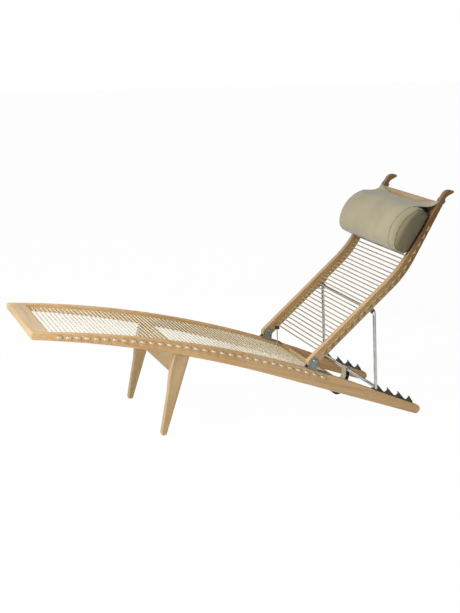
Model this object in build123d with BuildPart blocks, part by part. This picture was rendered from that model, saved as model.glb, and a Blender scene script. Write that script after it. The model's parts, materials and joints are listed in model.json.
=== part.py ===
from build123d import *
import os
from math import asin, atan, atan2, cos, hypot, radians, sin, sqrt

# Deck chair of oak with laced rope seat and back, in millimetres
# x runs from the foot end to the head end, y across the chair, z up from the floor

# Seat rails: bowed boards that slope from the foot end down to the floor
seat_run = 1460.0
foot_height = 409.4
overall_width = 570.0
rail_thickness = 25.0
rail_end_radius = 16.5
rail_edge_round = 3.0
foot_end_round = 8.0
top_edge_shares = ((0.0, 1.0), (0.411, 0.7925), (0.8382, 0.307))
under_run_shares = (0.0, 0.3014, 0.6)
rail_depths = (24.81, 43.55, 59.57)
rail_heel = 3.3

# Clearances and overruns used all over the chair
side_gap = 0.3
glue_gap = 0.1
screw_clearance = 0.05
overrun = 10.0

# Rope and its holes
rope_diameter = 5.0
rope_hole_clearance = 0.5
stitch_gap = 0.4
rope_bend_radius = 4.0
knot_radius = 4.2
seat_hole_count = 62
first_hole_run = 93.6
last_hole_run = 1086.2
seat_hole_depth = 15.0
back_hole_count = 38
back_hole_pitch = 16.61
back_hole_start = 42.0
back_hole_depth = 19.8
head_hole_depth = 13.0

# Legs
leg_thickness = 28.0
leg_foot_run = 458.0
leg_foot_width = 19.0
leg_knee_drop = 136.8
leg_knee_run = 486.0
leg_shoulder_run = 496.0
leg_shoulder_drop = 58.8
leg_top_front_run = 512.0
leg_top_rear_run = 566.0
leg_foot_round = 6.5
leg_edge_round = 4.0

# Cross boards between the rails
foot_board_width = 69.0
foot_board_thickness = 18.0
foot_board_drop = 2.0
foot_board_nose = 12.0
apron_thickness = 20.0
apron_height = 92.0
apron_drop = 84.56
apron_base_run = 513.0
stretcher_run = 1130.0
stretcher_height = 38.0
stretcher_thickness = 22.0
board_edge_round = 2.0

# Dowels that hold the boards and legs
dowel_radius = 4.0
dowel_depth = 15.0
leg_dowel_depth = 18.0
foot_dowel_shares = (0.25, 0.75)
apron_dowel_shares = (0.167, 0.5)
stretcher_dowel_shares = (-0.25, 0.25)
leg_dowel_shares = (0.333, 0.667)

# Hinge of the back on the seat rails
hinge_run = 1038.0
back_end_clearance = 2.38
bolt_radius = 4.0
bolt_head_radius = 8.0
bolt_head_height = 5.1
bolt_head_round = 3.2
bolt_clearance = 0.06
cross_slot_width = 1.6
cross_slot_length = 8.0
cross_slot_depth = 1.6
nut_radius = 7.2
nut_height = 6.0
nut_sides = 6
nut_cap_taper = 30.0
bush_wall = 2.0
bracket_thickness = 3.5
bracket_plate_thickness = 3.0
bracket_run = 1048.0
bracket_length = 88.0
bracket_ear_width = 40.0
bracket_ear_inset = 3.0
bracket_eye_radius = 14.0
bracket_screw_shares = (0.143, 0.375)
bracket_seat_gap = 0.05

# Back rails, drawn along the back from the hinge axis
back_angle = 42.05
head_angle = 15.35
back_front_depth = 19.35
back_rear_depth = 17.8
back_end_radius = 27.0
back_end_corner_round = 16.0
head_run = 560.7
head_rise = 43.8
front_knee_run = 462.0
rear_knee_run = 463.5
front_knee_radius = 445.0
rear_knee_radius = 395.0
head_front_depth = 2.5
head_rear_depth = 16.9
horn_start = 176.0
horn_waist = 214.0
horn_waist_depth = 12.5
horn_waist_round = 30.0
horn_crown = 242.0
horn_crown_round = 30.0
horn_tip = 248.5
horn_tip_depth = 34.5
horn_tip_round = 5.0
back_edge_round = 2.5

# Head slat between the back rails
slat_bottom = 122.0
slat_top = 184.5
slat_thickness = 17.0
slat_dowel_inset = 15.0

# Notched racks on the seat rails
notch_count = 4
notch_pitch = 46.2
notch_run = 1281.0
rack_width = 12.0
rack_inset = 1.0
rack_floor = 4.0
rack_front_length = 7.5
rack_tail_length = 30.0
rack_tail_height = 5.0
tooth_tip_offset = 1.8
tooth_tip_rise = 13.8
tooth_hook_offset = 9.7
tooth_hook_rise = 5.2
tooth_heel_offset = 3.9
pocket_toe_offset = 6.0
tooth_round = 0.8

# Steel prop loop that props the back, and its saddles
prop_rod_diameter = 12.0
prop_pivot_run = 285.6
prop_pivot_depth = 32.7
prop_leg_inset = 4.0
prop_bend_radius = 10.0
prop_seat_clearance = 0.3
saddle_width = 10.0
saddle_inset = 4.0
saddle_wall = 3.0
saddle_clearance = 0.06
saddle_plate_length = 55.0
saddle_plate_thickness = 3.0

# Wood screws
screw_radius = 2.0
screw_length = 11.0
screw_head_radius = 3.9
screw_head_height = 2.4

# Pull strap of webbing round the prop loop
strap_width = 47.0
strap_centre = 35.0
strap_thickness = 2.6
strap_drop = 84.4
strap_lean = 31.4
strap_bottom_radius = 26.0

# Loose end of the back lacing, in a clamp
tail_diameter = 4.5
tail_length = 60.0
clamp_length = 17.0
clamp_height = 12.0
clamp_depth = 13.0
clamp_gap = 2.0
clamp_edge_round = 1.5

# Bolster pillow against the head end of the back
pillow_inset = 1.0
pillow_seam_inset = 4.0
pillow_gusset = 26.0
pillow_bottom = -52.0
pillow_top = 131.0
pillow_depth = 107.0
pillow_seam_depth = 103.0
pillow_end_depth = 83.0
pillow_panel_shrink = 6.0
pillow_gap = 0.8
pillow_rest_shares = ((0.10, 0), (0.895, 0))
pillow_arc_shares = (
    ((0.895, 0), (0.965, 0.05), (0.99, 0.2)),
    ((0.99, 0.2), (1, 0.42), (0.95, 0.67)),
    ((0.95, 0.67), (0.55, 1), (0.13, 0.86)),
    ((0.13, 0.86), (0, 0.58), (0.01, 0.30)),
    ((0.01, 0.30), (0.03, 0.08), (0.10, 0)),
)

# Flap that hangs the pillow from tape loops under the horns
flap_thickness = 2.4
flap_inset = 3.0
flap_corner = 185.2
flap_dip = 35.0
flap_edge_lift = 1.2
flap_bend_radius = 18.0
flap_rise_share = 0.42
flap_bend_shares = (0.42, 0.12)
flap_landing_share = 0.75
loop_start = 186.0
loop_width = 14.0
loop_thickness = 1.6

# Worked out from the sizes above
half_width = overall_width / 2
rail_inner = half_width - rail_thickness
rope_radius = rope_diameter / 2
rope_hole_radius = rope_radius + rope_hole_clearance
stitch_face = half_width + stitch_gap + rope_radius
board_half = rail_inner - glue_gap
pillow_half_width = half_width - pillow_inset
flap_half_width = half_width - flap_inset
back_cos = cos(radians(back_angle))
back_sin = sin(radians(back_angle))
head_cos = cos(radians(head_angle))
head_sin = sin(radians(head_angle))
prop_radius = prop_rod_diameter / 2


def edge_of(points):
    """Circle and tangent tail of a rail edge through three points."""
    (ax, az), (bx, bz), (cx, cz) = points
    d = 2 * (ax * (bz - cz) + bx * (cz - az) + cx * (az - bz))
    a2, b2, c2 = ax**2 + az**2, bx**2 + bz**2, cx**2 + cz**2
    ox = (a2 * (bz - cz) + b2 * (cz - az) + c2 * (az - bz)) / d
    oz = (a2 * (cx - bx) + b2 * (ax - cx) + c2 * (bx - ax)) / d
    radius = hypot(ax - ox, az - oz)
    slope = -(cx - ox) / (cz - oz)
    return {"x": ox, "z": oz, "r": radius, "start": (ax, az), "mid": (bx, bz), "knee": (cx, cz),
            "slope": slope}


def height_on(edge, x):
    """Height of a rail edge at a distance from the foot end."""
    if x <= edge["knee"][0]:
        return edge["z"] + sqrt(edge["r"] ** 2 - (x - edge["x"]) ** 2)
    return edge["knee"][1] + edge["slope"] * (x - edge["knee"][0])


def slope_on(edge, x):
    """Angle of a rail edge at a distance from the foot end."""
    if x <= edge["knee"][0]:
        return atan(-(x - edge["x"]) / (height_on(edge, x) - edge["z"]))
    return atan(edge["slope"])


def from_head(s, t):
    """A point of the upper back, given along and in front of it, in the back's own lines."""
    return head_run + s * head_cos - t * head_sin, head_rise + s * head_sin + t * head_cos


def from_back(u, w):
    """A point in the back's own lines, as distance from the foot end and height."""
    return hinge_run + u * back_cos - w * back_sin, hinge_height + u * back_sin + w * back_cos


# Edges of the seat rail, the underside a given depth below the top
top_edge = edge_of([(seat_run * s, foot_height * t) for s, t in top_edge_shares])
tail_angle = slope_on(top_edge, seat_run)
tail_cos = cos(tail_angle)
tail_sin = sin(tail_angle)
tail_round_height = rail_end_radius + rail_end_radius / tail_cos
rail_end_run = top_edge["knee"][0] + (tail_round_height - top_edge["knee"][1]) / top_edge["slope"]
under_floor_run = rail_end_run - rail_heel
under_runs = [seat_run * share for share in under_run_shares]
under_edge = edge_of([(run, height_on(top_edge, run) - depth) for run, depth in zip(under_runs, rail_depths)])
under_edge["slope"] = -under_edge["knee"][1] / (under_floor_run - under_edge["knee"][0])

# The hinge axis is high enough for the back's round end to turn over the bracket's plate
hinge_rise = back_end_radius + bracket_plate_thickness + bracket_seat_gap + back_end_clearance
hinge_height = height_on(top_edge, hinge_run) + hinge_rise / cos(slope_on(top_edge, hinge_run))


def rounded_face(corners):
    """Closed outline of straight sides, each corner given as across, up and its radius."""
    with BuildLine() as outline:
        FilletPolyline(*[(a, b) for a, b, r in corners], radius=[r for a, b, r in corners], close=True)
    make_face(outline.edges())


# Outline of a back rail: straight below, bowed forward to the head end, with a horn at the tip
back_corners = [
    (-back_end_radius, back_front_depth, back_end_corner_round),
    (front_knee_run, back_front_depth, front_knee_radius),
    (*from_head(horn_crown, head_front_depth), horn_crown_round),
    (*from_head(horn_tip, -horn_tip_depth), horn_tip_round),
    (*from_head(horn_waist, -horn_waist_depth), horn_waist_round),
    (*from_head(horn_start, -head_rear_depth), 0),
    (rear_knee_run, -back_rear_depth, rear_knee_radius),
    (-back_end_radius, -back_rear_depth, back_end_corner_round),
]
with BuildSketch() as back_outline:
    rounded_face(back_corners)

# The horn tip is the furthest point, and the chair stands centred under its own length
horn_reach = hinge_run + back_outline.sketch.rotate(Axis.Z, back_angle).bounding_box().max.X
shift = -horn_reach / 2


def side_plane(y):
    """Lines across the chair's side, x from the foot end and z from the floor."""
    return Plane(origin=(shift, y, 0), x_dir=(1, 0, 0), z_dir=(0, -1, 0))


def tilted_plane(x, y, z, angle):
    """Lines on a piece that slopes, with their zero at a point of the chair's side."""
    return Plane(origin=(shift + x, y, z), x_dir=(cos(angle), 0, sin(angle)), z_dir=(0, -1, 0))


def back_plane(y):
    """Lines along the back from the hinge axis."""
    return tilted_plane(hinge_run, y, hinge_height, radians(back_angle))


def head_plane(y):
    """Lines along the upper part of the back."""
    x, z = from_back(head_run, head_rise)
    return tilted_plane(x, y, z, radians(back_angle + head_angle))


def side_edges(part):
    """Edges that lie in the flat side faces of a piece."""
    return part.edges().filter_by(Plane.XZ)


# Places of the lacing holes, evenly spaced along the rail's top edge
seat_hole_radius = top_edge["r"] - seat_hole_depth
first_hole_angle = asin((first_hole_run - top_edge["x"]) / top_edge["r"])
last_hole_angle = asin((last_hole_run - top_edge["x"]) / top_edge["r"])
seat_hole_step = (last_hole_angle - first_hole_angle) / (seat_hole_count - 1)
seat_holes = []
for number in range(seat_hole_count):
    hole_angle = first_hole_angle + seat_hole_step * number
    seat_holes.append((top_edge["x"] + seat_hole_radius * sin(hole_angle),
                       top_edge["z"] + seat_hole_radius * cos(hole_angle)))

back_hole_rise = back_front_depth - back_hole_depth
with BuildLine() as back_hole_line:
    FilletPolyline(
        (back_hole_start, back_hole_rise),
        (front_knee_run, back_hole_rise),
        from_head(horn_start, head_front_depth - head_hole_depth),
        radius=front_knee_radius,
    )
back_hole_wire = back_hole_line.wires()[0]
back_holes = []
for number in range(back_hole_count):
    place = back_hole_wire.position_at(number * back_hole_pitch, position_mode=PositionMode.LENGTH)
    back_holes.append((place.X, place.Y))

# Places of the dowels, as distance and height
foot_board_angle = slope_on(top_edge, foot_board_width / 2)
foot_board_top_z = height_on(top_edge, foot_board_width / 2) - foot_board_drop
foot_board_centre_z = foot_board_top_z - foot_board_thickness / 2
foot_dowels = []
for share in foot_dowel_shares:
    along = foot_board_width * share
    rise = (along - foot_board_width / 2) * sin(foot_board_angle)
    foot_dowels.append((along, foot_board_centre_z + rise))
leg_rear_lean = leg_top_rear_run - leg_foot_run - leg_foot_width
apron_angle = atan2(height_on(under_edge, leg_top_rear_run), leg_rear_lean)
apron_base_height = height_on(under_edge, apron_base_run) - apron_drop
apron_dowels = []
for share in apron_dowel_shares:
    along = apron_height * share
    apron_dowels.append((
        apron_base_run + along * cos(apron_angle) + apron_thickness / 2 * sin(apron_angle),
        apron_base_height + along * sin(apron_angle) - apron_thickness / 2 * cos(apron_angle),
    ))
stretcher_angle = slope_on(under_edge, stretcher_run)
stretcher_z = (height_on(top_edge, stretcher_run) + height_on(under_edge, stretcher_run)) / 2
stretcher_dowels = []
for share in stretcher_dowel_shares:
    along = stretcher_height * share
    stretcher_dowels.append((stretcher_run - along * sin(stretcher_angle),
                             stretcher_z + along * cos(stretcher_angle)))
slat_dowels = [(slat_bottom + slat_dowel_inset, -slat_thickness / 2),
               (slat_top - slat_dowel_inset, -slat_thickness / 2)]
leg_top_angle = slope_on(under_edge, (leg_top_front_run + leg_top_rear_run) / 2)
leg_dowels = []
for share in leg_dowel_shares:
    dowel_x = leg_top_front_run + (leg_top_rear_run - leg_top_front_run) * share
    leg_dowels.append((dowel_x, height_on(under_edge, dowel_x)))


def cut_dowels(points, plane, radius):
    """Holes for dowels that run across the chair, both sides of a rail's inner face."""
    with BuildSketch(plane) as dowel_ends:
        with Locations(*points):
            Circle(radius)
    extrude(dowel_ends.sketch, amount=dowel_depth, both=True, mode=Mode.SUBTRACT)


def upright_cylinder(x, z, angle, y, radius, below, above):
    """Round bar in the side's plane, square to a sloping face at a point on it."""
    foot = Plane(origin=(shift + x + below * sin(angle), y, z - below * cos(angle)),
                 x_dir=(0, 1, 0), z_dir=(-sin(angle), 0, cos(angle)))
    with BuildSketch(foot) as section:
        Circle(radius)
    extrude(section.sketch, amount=below + above)


# Places of the hinge brackets on the rails
bracket_angle = slope_on(top_edge, bracket_run)
bracket_z = height_on(top_edge, bracket_run)
bracket_base = (bracket_run - bracket_seat_gap * sin(bracket_angle),
                bracket_z + bracket_seat_gap * cos(bracket_angle))
ear_outer = half_width + side_gap + bracket_thickness
ear_inner = rail_inner - side_gap - bracket_thickness
hinge_dx = hinge_run - bracket_base[0]
hinge_dz = hinge_height - bracket_base[1]
eye_x = hinge_dx * cos(bracket_angle) + hinge_dz * sin(bracket_angle)
eye_z = -hinge_dx * sin(bracket_angle) + hinge_dz * cos(bracket_angle)
ear_start = -bracket_length / 2 + bracket_ear_inset
bracket_screw_places = [bracket_length / 2 - bracket_length * share for share in bracket_screw_shares]


def bracket_plane(y):
    """Lines along the rail's top under the bracket."""
    return tilted_plane(bracket_base[0], y, bracket_base[1], bracket_angle)


# Places of the notched racks, drawn along the straight tail of the rail from the first notch
rod_rise = rack_floor + prop_seat_clearance + prop_radius
notch_foot_run = notch_run + rod_rise * tail_sin
notch_foot_z = height_on(top_edge, notch_foot_run)
rack_inner = rail_inner + rack_inset
rack_middle = rack_inner + rack_width / 2
rack_screw_places = [notch_pitch * number - tooth_tip_offset for number in (1, notch_count - 1)]


def rack_plane(y):
    """Lines along the straight tail of the rail's top, from under the first notch."""
    return tilted_plane(notch_foot_run, y, notch_foot_z, tail_angle)


# Heads of the screws that enter the rail's top, with their slope and place across the chair
bracket_middle = (ear_inner + ear_outer) / 2
rail_screws = []
for place in bracket_screw_places:
    head = bracket_plane(0).from_local_coords((place, bracket_plate_thickness, 0))
    rail_screws.append((head.X, head.Z, bracket_angle, bracket_middle))
for place in rack_screw_places:
    head = rack_plane(0).from_local_coords((place, rack_floor, 0))
    rail_screws.append((head.X, head.Z, tail_angle, rack_middle))
bracket_rail_screws = rail_screws[:len(bracket_screw_places)]
rack_rail_screws = rail_screws[len(bracket_screw_places):]


def screw_plane(x, z, angle, y):
    """Plane across a screw's head, facing out of the surface that it enters."""
    return Plane(origin=(x, y, z), x_dir=(0, 1, 0), z_dir=(-sin(angle), 0, cos(angle)))


def cut_screw(x, z, angle, y):
    """Hole for a countersunk screw, through the piece that it holds and into the next."""
    head_face = screw_plane(x, z, angle, y)
    with BuildSketch(head_face.offset(overrun)) as shank:
        Circle(screw_radius + screw_clearance)
    depth = overrun + screw_head_height + screw_length + screw_clearance
    extrude(shank.sketch, amount=-depth, mode=Mode.SUBTRACT)
    with BuildSketch(head_face.offset(-screw_head_height - screw_clearance)) as neck:
        Circle(screw_radius)
    with BuildSketch(head_face.offset(screw_clearance)) as rim:
        Circle(screw_head_radius + 2 * screw_clearance)
    loft([neck.sketch.faces()[0], rim.sketch.faces()[0]], mode=Mode.SUBTRACT)


def add_screw(x, z, angle, y):
    """Countersunk wood screw with a cross in its head."""
    head_face = screw_plane(x, z, angle, y)
    with BuildSketch(head_face.offset(-screw_head_height)) as neck:
        Circle(screw_radius)
    extrude(neck.sketch, amount=-screw_length)
    with BuildSketch(head_face) as rim:
        Circle(screw_head_radius)
    loft([neck.sketch.faces()[0], rim.sketch.faces()[0]])
    with BuildSketch(head_face) as cross:
        Rectangle(cross_slot_length / 2, cross_slot_width / 2)
        Rectangle(cross_slot_width / 2, cross_slot_length / 2)
    extrude(cross.sketch, amount=-cross_slot_depth / 2, mode=Mode.SUBTRACT)


# Seat rails
with BuildPart() as seat_rail_left:
    with BuildSketch(side_plane(-rail_inner)):
        with BuildLine():
            over = ThreePointArc(top_edge["start"], top_edge["mid"], top_edge["knee"])
            tangent_point = (rail_end_run - rail_end_radius * tail_sin,
                             rail_end_radius + rail_end_radius * tail_cos)
            Line(over @ 1, tangent_point)
            ThreePointArc(tangent_point,
                          (rail_end_run + rail_end_radius * cos(tail_angle / 2),
                           rail_end_radius + rail_end_radius * sin(tail_angle / 2)),
                          (rail_end_run, 0))
            Line((rail_end_run, 0), (under_floor_run, 0))
            Line((under_floor_run, 0), under_edge["knee"])
            ThreePointArc(under_edge["knee"], under_edge["mid"], under_edge["start"])
            Line(under_edge["start"], top_edge["start"])
        make_face()
        fillet(vertices().group_by(Axis.X)[0], foot_end_round)
    extrude(amount=rail_thickness)
    upper_edges = [
        edge for edge in side_edges(seat_rail_left)
        if edge.center().Z > (height_on(top_edge, edge.center().X - shift)
                              + height_on(under_edge, edge.center().X - shift)) / 2
    ]
    fillet(upper_edges, rail_edge_round)
    with BuildSketch(side_plane(-rail_inner + overrun)):
        with Locations(*seat_holes):
            Circle(rope_hole_radius)
    extrude(amount=rail_thickness + 2 * overrun, mode=Mode.SUBTRACT)
    cut_dowels(foot_dowels + stretcher_dowels, side_plane(-rail_inner), dowel_radius)
    for dowel_x, dowel_z in leg_dowels:
        cut_plane = Plane(origin=(shift + dowel_x, -half_width + leg_thickness / 2, dowel_z),
                          x_dir=(0, 1, 0), z_dir=(-sin(leg_top_angle), 0, cos(leg_top_angle)))
        with BuildSketch(cut_plane):
            Circle(dowel_radius)
        extrude(amount=leg_dowel_depth, both=True, mode=Mode.SUBTRACT)
    for head_x, head_z, angle, head_y in rail_screws:
        cut_screw(head_x, head_z, angle, -head_y)
seat_rail_left.part.label = "seat_rail_left"
export_step(seat_rail_left.part, "parts/seat_rail_left.step")

with BuildPart() as seat_rail_right:
    mirror(seat_rail_left.part, about=Plane.XZ)
seat_rail_right.part.label = "seat_rail_right"
export_step(seat_rail_right.part, "parts/seat_rail_right.step")

# Legs under the rails, tapered to the foot
leg_inner = half_width - leg_thickness
leg_top_front = (leg_top_front_run, height_on(under_edge, leg_top_front_run) - glue_gap)
leg_top_rear = (leg_top_rear_run, height_on(under_edge, leg_top_rear_run) - glue_gap)
with BuildPart() as leg_left:
    with BuildSketch(side_plane(-leg_inner)):
        with BuildLine():
            front = ThreePointArc((leg_knee_run, leg_top_front[1] - leg_knee_drop),
                                  (leg_shoulder_run, leg_top_front[1] - leg_shoulder_drop), leg_top_front)
            Line(front @ 1, leg_top_rear)
            Line(leg_top_rear, (leg_foot_run + leg_foot_width, 0))
            Line((leg_foot_run + leg_foot_width, 0), (leg_foot_run, 0))
            Line((leg_foot_run, 0), front @ 0)
        make_face()
        fillet(vertices().group_by(Axis.Y)[0], leg_foot_round)
    extrude(amount=leg_thickness)
    leg_edges = [
        edge for edge in side_edges(leg_left)
        if edge.center().Z < leg_top_rear[1] and edge.length > leg_foot_width
    ]
    fillet(leg_edges, leg_edge_round)
    for dowel_x, dowel_z in leg_dowels:
        cut_plane = Plane(origin=(shift + dowel_x, -half_width + leg_thickness / 2, dowel_z),
                          x_dir=(0, 1, 0), z_dir=(-sin(leg_top_angle), 0, cos(leg_top_angle)))
        with BuildSketch(cut_plane):
            Circle(dowel_radius)
        extrude(amount=leg_dowel_depth, both=True, mode=Mode.SUBTRACT)
    cut_dowels(apron_dowels, side_plane(-leg_inner), dowel_radius)
leg_left.part.label = "leg_left"
export_step(leg_left.part, "parts/leg_left.step")

with BuildPart() as leg_right:
    mirror(leg_left.part, about=Plane.XZ)
leg_right.part.label = "leg_right"
export_step(leg_right.part, "parts/leg_right.step")

# Foot board, its front edge rounded over
foot_plane = tilted_plane(foot_board_width / 2, board_half, foot_board_centre_z, foot_board_angle)
with BuildPart() as foot_board:
    with BuildSketch(foot_plane):
        Rectangle(foot_board_width, foot_board_thickness)
        fillet(vertices().sort_by(Axis.X)[:2].sort_by(Axis.Y)[-1], foot_board_nose)
        fillet(vertices().sort_by(Axis.X)[-2:], board_edge_round)
    extrude(amount=2 * board_half)
    cut_dowels(foot_dowels, side_plane(-board_half), dowel_radius)
    cut_dowels(foot_dowels, side_plane(board_half), dowel_radius)
foot_board.part.label = "foot_board"
export_step(foot_board.part, "parts/foot_board.step")

# Apron between the legs, leaning with them
apron_half = leg_inner - glue_gap
with BuildPart() as leg_apron:
    with BuildSketch(tilted_plane(apron_base_run, apron_half, apron_base_height, apron_angle)):
        Rectangle(apron_height, apron_thickness, align=(Align.MIN, Align.MAX))
        fillet(vertices(), board_edge_round)
    extrude(amount=2 * apron_half)
    cut_dowels(apron_dowels, side_plane(-apron_half), dowel_radius)
    cut_dowels(apron_dowels, side_plane(apron_half), dowel_radius)
leg_apron.part.label = "leg_apron"
export_step(leg_apron.part, "parts/leg_apron.step")

# Rear stretcher between the seat rails behind the hinge
with BuildPart() as rear_stretcher:
    with BuildSketch(tilted_plane(stretcher_run, board_half, stretcher_z, stretcher_angle)):
        Rectangle(stretcher_thickness, stretcher_height)
        fillet(vertices(), board_edge_round)
    extrude(amount=2 * board_half)
    cut_dowels(stretcher_dowels, side_plane(-board_half), dowel_radius)
    cut_dowels(stretcher_dowels, side_plane(board_half), dowel_radius)
rear_stretcher.part.label = "rear_stretcher"
export_step(rear_stretcher.part, "parts/rear_stretcher.step")

# Dowels of the seat frame, one kind of beech dowel throughout
with BuildPart() as seat_frame_dowels:
    for side in (-1, 1):
        with BuildSketch(side_plane(side * rail_inner)):
            with Locations(*(foot_dowels + stretcher_dowels)):
                Circle(dowel_radius - screw_clearance)
        extrude(amount=dowel_depth - glue_gap, both=True)
        with BuildSketch(side_plane(side * leg_inner)):
            with Locations(*apron_dowels):
                Circle(dowel_radius - screw_clearance)
        extrude(amount=dowel_depth - glue_gap, both=True)
        for dowel_x, dowel_z in leg_dowels:
            upright_cylinder(dowel_x, dowel_z, leg_top_angle, side * (half_width - leg_thickness / 2),
                             dowel_radius - screw_clearance, leg_dowel_depth - glue_gap,
                             leg_dowel_depth - glue_gap)
seat_frame_dowels.part.label = "seat_frame_dowels"
export_step(seat_frame_dowels.part, "parts/seat_frame_dowels.step")


def lacing_route(places, start_y, end_y):
    """Corners of a rope that crosses at each place in turn, from the far rail to the near one and back."""
    route = []
    for number, (x, z) in enumerate(places):
        toward = 1 if number % 2 == 0 else -1
        route.append((shift + x, toward * stitch_face, z))
        route.append((shift + x, -toward * stitch_face, z))
    route[0] = (route[0][0], start_y, route[0][2])
    route[-1] = (route[-1][0], end_y, route[-1][2])
    return route


def lay_rope(route):
    """Rope along a lacing route, every corner bent to the same radius."""
    with BuildLine() as line:
        FilletPolyline(*route, radius=[rope_bend_radius] * (len(route) - 2))
    with BuildSketch(Plane(origin=route[0], z_dir=Vector(*route[1]) - Vector(*route[0]))) as section:
        Circle(rope_radius)
    rope = sweep(section.sketch, path=line.wires()[0])
    length = line.wires()[0].length
    print("rope length", round(length), "volume over section times length",
          round(rope.volume / (section.sketch.area * length), 4))


# Seat lacing, one rope from knot to knot
knot_face = half_width + stitch_gap + knot_radius
with BuildPart() as seat_lacing:
    lay_rope(lacing_route(seat_holes, knot_face, knot_face))
    with Locations(*[(shift + x, knot_face, z) for x, z in (seat_holes[0], seat_holes[-1])]):
        Sphere(knot_radius)
seat_lacing.part.label = "seat_lacing"
export_step(seat_lacing.part, "parts/seat_lacing.step")

# Hinge brackets: folded steel with two ears and a plate on the rail
with BuildPart() as hinge_bracket_left:
    with BuildSketch(bracket_plane(-ear_inner)):
        with Locations((0, bracket_plate_thickness / 2)):
            Rectangle(bracket_length, bracket_plate_thickness)
    extrude(amount=ear_outer - ear_inner)
    for ear_face in (ear_inner, ear_outer - bracket_thickness):
        with BuildSketch(bracket_plane(-ear_face)):
            with BuildLine():
                Polyline((ear_start, 0), (ear_start + bracket_ear_width, 0),
                         (eye_x + bracket_eye_radius, eye_z), (eye_x - bracket_eye_radius, eye_z),
                         close=True)
            make_face()
            with Locations((eye_x, eye_z)):
                Circle(bracket_eye_radius)
        extrude(amount=bracket_thickness)
    with BuildSketch(bracket_plane(-ear_inner + overrun)):
        with Locations((eye_x, eye_z)):
            Circle(bolt_radius + bolt_clearance)
    extrude(amount=overall_width, mode=Mode.SUBTRACT)
    for head_x, head_z, angle, head_y in bracket_rail_screws:
        cut_screw(head_x, head_z, angle, -head_y)
hinge_bracket_left.part.label = "hinge_bracket_left"
export_step(hinge_bracket_left.part, "parts/hinge_bracket_left.step")

with BuildPart() as hinge_bracket_right:
    mirror(hinge_bracket_left.part, about=Plane.XZ)
hinge_bracket_right.part.label = "hinge_bracket_right"
export_step(hinge_bracket_right.part, "parts/hinge_bracket_right.step")


def facing_plane(x, y, z, side):
    """Plane across the chair that faces away from its middle, on the given side."""
    return Plane(origin=(shift + x, side * y, z), x_dir=(1, 0, 0), z_dir=(0, side, 0))


# Hinge bolts with cross heads outside, and their cap nuts inside
with BuildPart() as hinge_bolts:
    for side in (-1, 1):
        with BuildSketch(facing_plane(hinge_run, ear_inner, hinge_height, side)):
            Circle(bolt_radius)
        extrude(amount=ear_outer - ear_inner)
        with BuildSketch(facing_plane(hinge_run, ear_outer, hinge_height, side)):
            Circle(bolt_head_radius)
        extrude(amount=bolt_head_height)
        fillet(edges().filter_by(GeomType.CIRCLE).sort_by(Axis.Y)[(side - 1) // 2], bolt_head_round)
        with BuildSketch(facing_plane(hinge_run, ear_outer + bolt_head_height, hinge_height, side)):
            Rectangle(cross_slot_length, cross_slot_width)
            Rectangle(cross_slot_width, cross_slot_length)
        extrude(amount=-cross_slot_depth, mode=Mode.SUBTRACT)
hinge_bolts.part.label = "hinge_bolts"
export_step(hinge_bolts.part, "parts/hinge_bolts.step")

with BuildPart() as hinge_nuts:
    for side in (-1, 1):
        with BuildSketch(facing_plane(hinge_run, ear_inner - glue_gap / 2, hinge_height, side)):
            RegularPolygon(nut_radius, nut_sides)
        extrude(amount=-nut_height)
        with BuildSketch(facing_plane(hinge_run, ear_inner - nut_height, hinge_height, side)):
            Circle(nut_radius * cos(radians(180 / nut_sides)))
        extrude(amount=-bolt_radius, taper=nut_cap_taper)
hinge_nuts.part.label = "hinge_nuts"
export_step(hinge_nuts.part, "parts/hinge_nuts.step")

# Screws that hold the hinge brackets to the rails
with BuildPart() as bracket_screws:
    for side in (-1, 1):
        for head_x, head_z, angle, head_y in bracket_rail_screws:
            add_screw(head_x, head_z, angle, side * head_y)
bracket_screws.part.label = "bracket_screws"
export_step(bracket_screws.part, "parts/bracket_screws.step")

# Notched racks, each one strip with hooked teeth that lean to the foot end
rack_corners = [(-rack_front_length, 0, 0), (-rack_front_length, rack_floor, tooth_round)]
for number in range(notch_count):
    notch = number * notch_pitch
    if number > 0:
        rack_corners.append((notch - pocket_toe_offset, rack_floor, tooth_round))
    rack_corners.append((notch + tooth_heel_offset, rack_floor, tooth_round))
    rack_corners.append((notch + tooth_hook_offset, rod_rise + tooth_hook_rise, tooth_round))
    rack_corners.append((notch + tooth_tip_offset, rod_rise + tooth_tip_rise, tooth_round))
rack_end = (notch_count - 1) * notch_pitch + rack_tail_length
rack_corners.append((rack_end, rack_tail_height, tooth_round))
rack_corners.append((rack_end, 0, 0))
with BuildPart() as rack_left:
    with BuildSketch(rack_plane(-rack_inner)):
        rounded_face(rack_corners)
    extrude(amount=rack_width)
    for head_x, head_z, angle, head_y in rack_rail_screws:
        cut_screw(head_x, head_z, angle, -head_y)
rack_left.part.label = "rack_left"
export_step(rack_left.part, "parts/rack_left.step")

with BuildPart() as rack_right:
    mirror(rack_left.part, about=Plane.XZ)
rack_right.part.label = "rack_right"
export_step(rack_right.part, "parts/rack_right.step")

with BuildPart() as rack_screws:
    for side in (-1, 1):
        for head_x, head_z, angle, head_y in rack_rail_screws:
            add_screw(head_x, head_z, angle, side * head_y)
rack_screws.part.label = "rack_screws"
export_step(rack_screws.part, "parts/rack_screws.step")

# Screws of the prop saddles, on the rear faces of the back rails
saddle_middle = rail_inner + saddle_inset
saddle_screws_at = []
for side in (-1, 1):
    along = prop_pivot_run + side * (saddle_plate_length / 2 - 2 * screw_head_radius)
    head_x, head_z = from_back(along, -back_rear_depth - saddle_plate_thickness)
    saddle_screws_at.append((shift + head_x, head_z, radians(back_angle + 180), saddle_middle))

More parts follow.
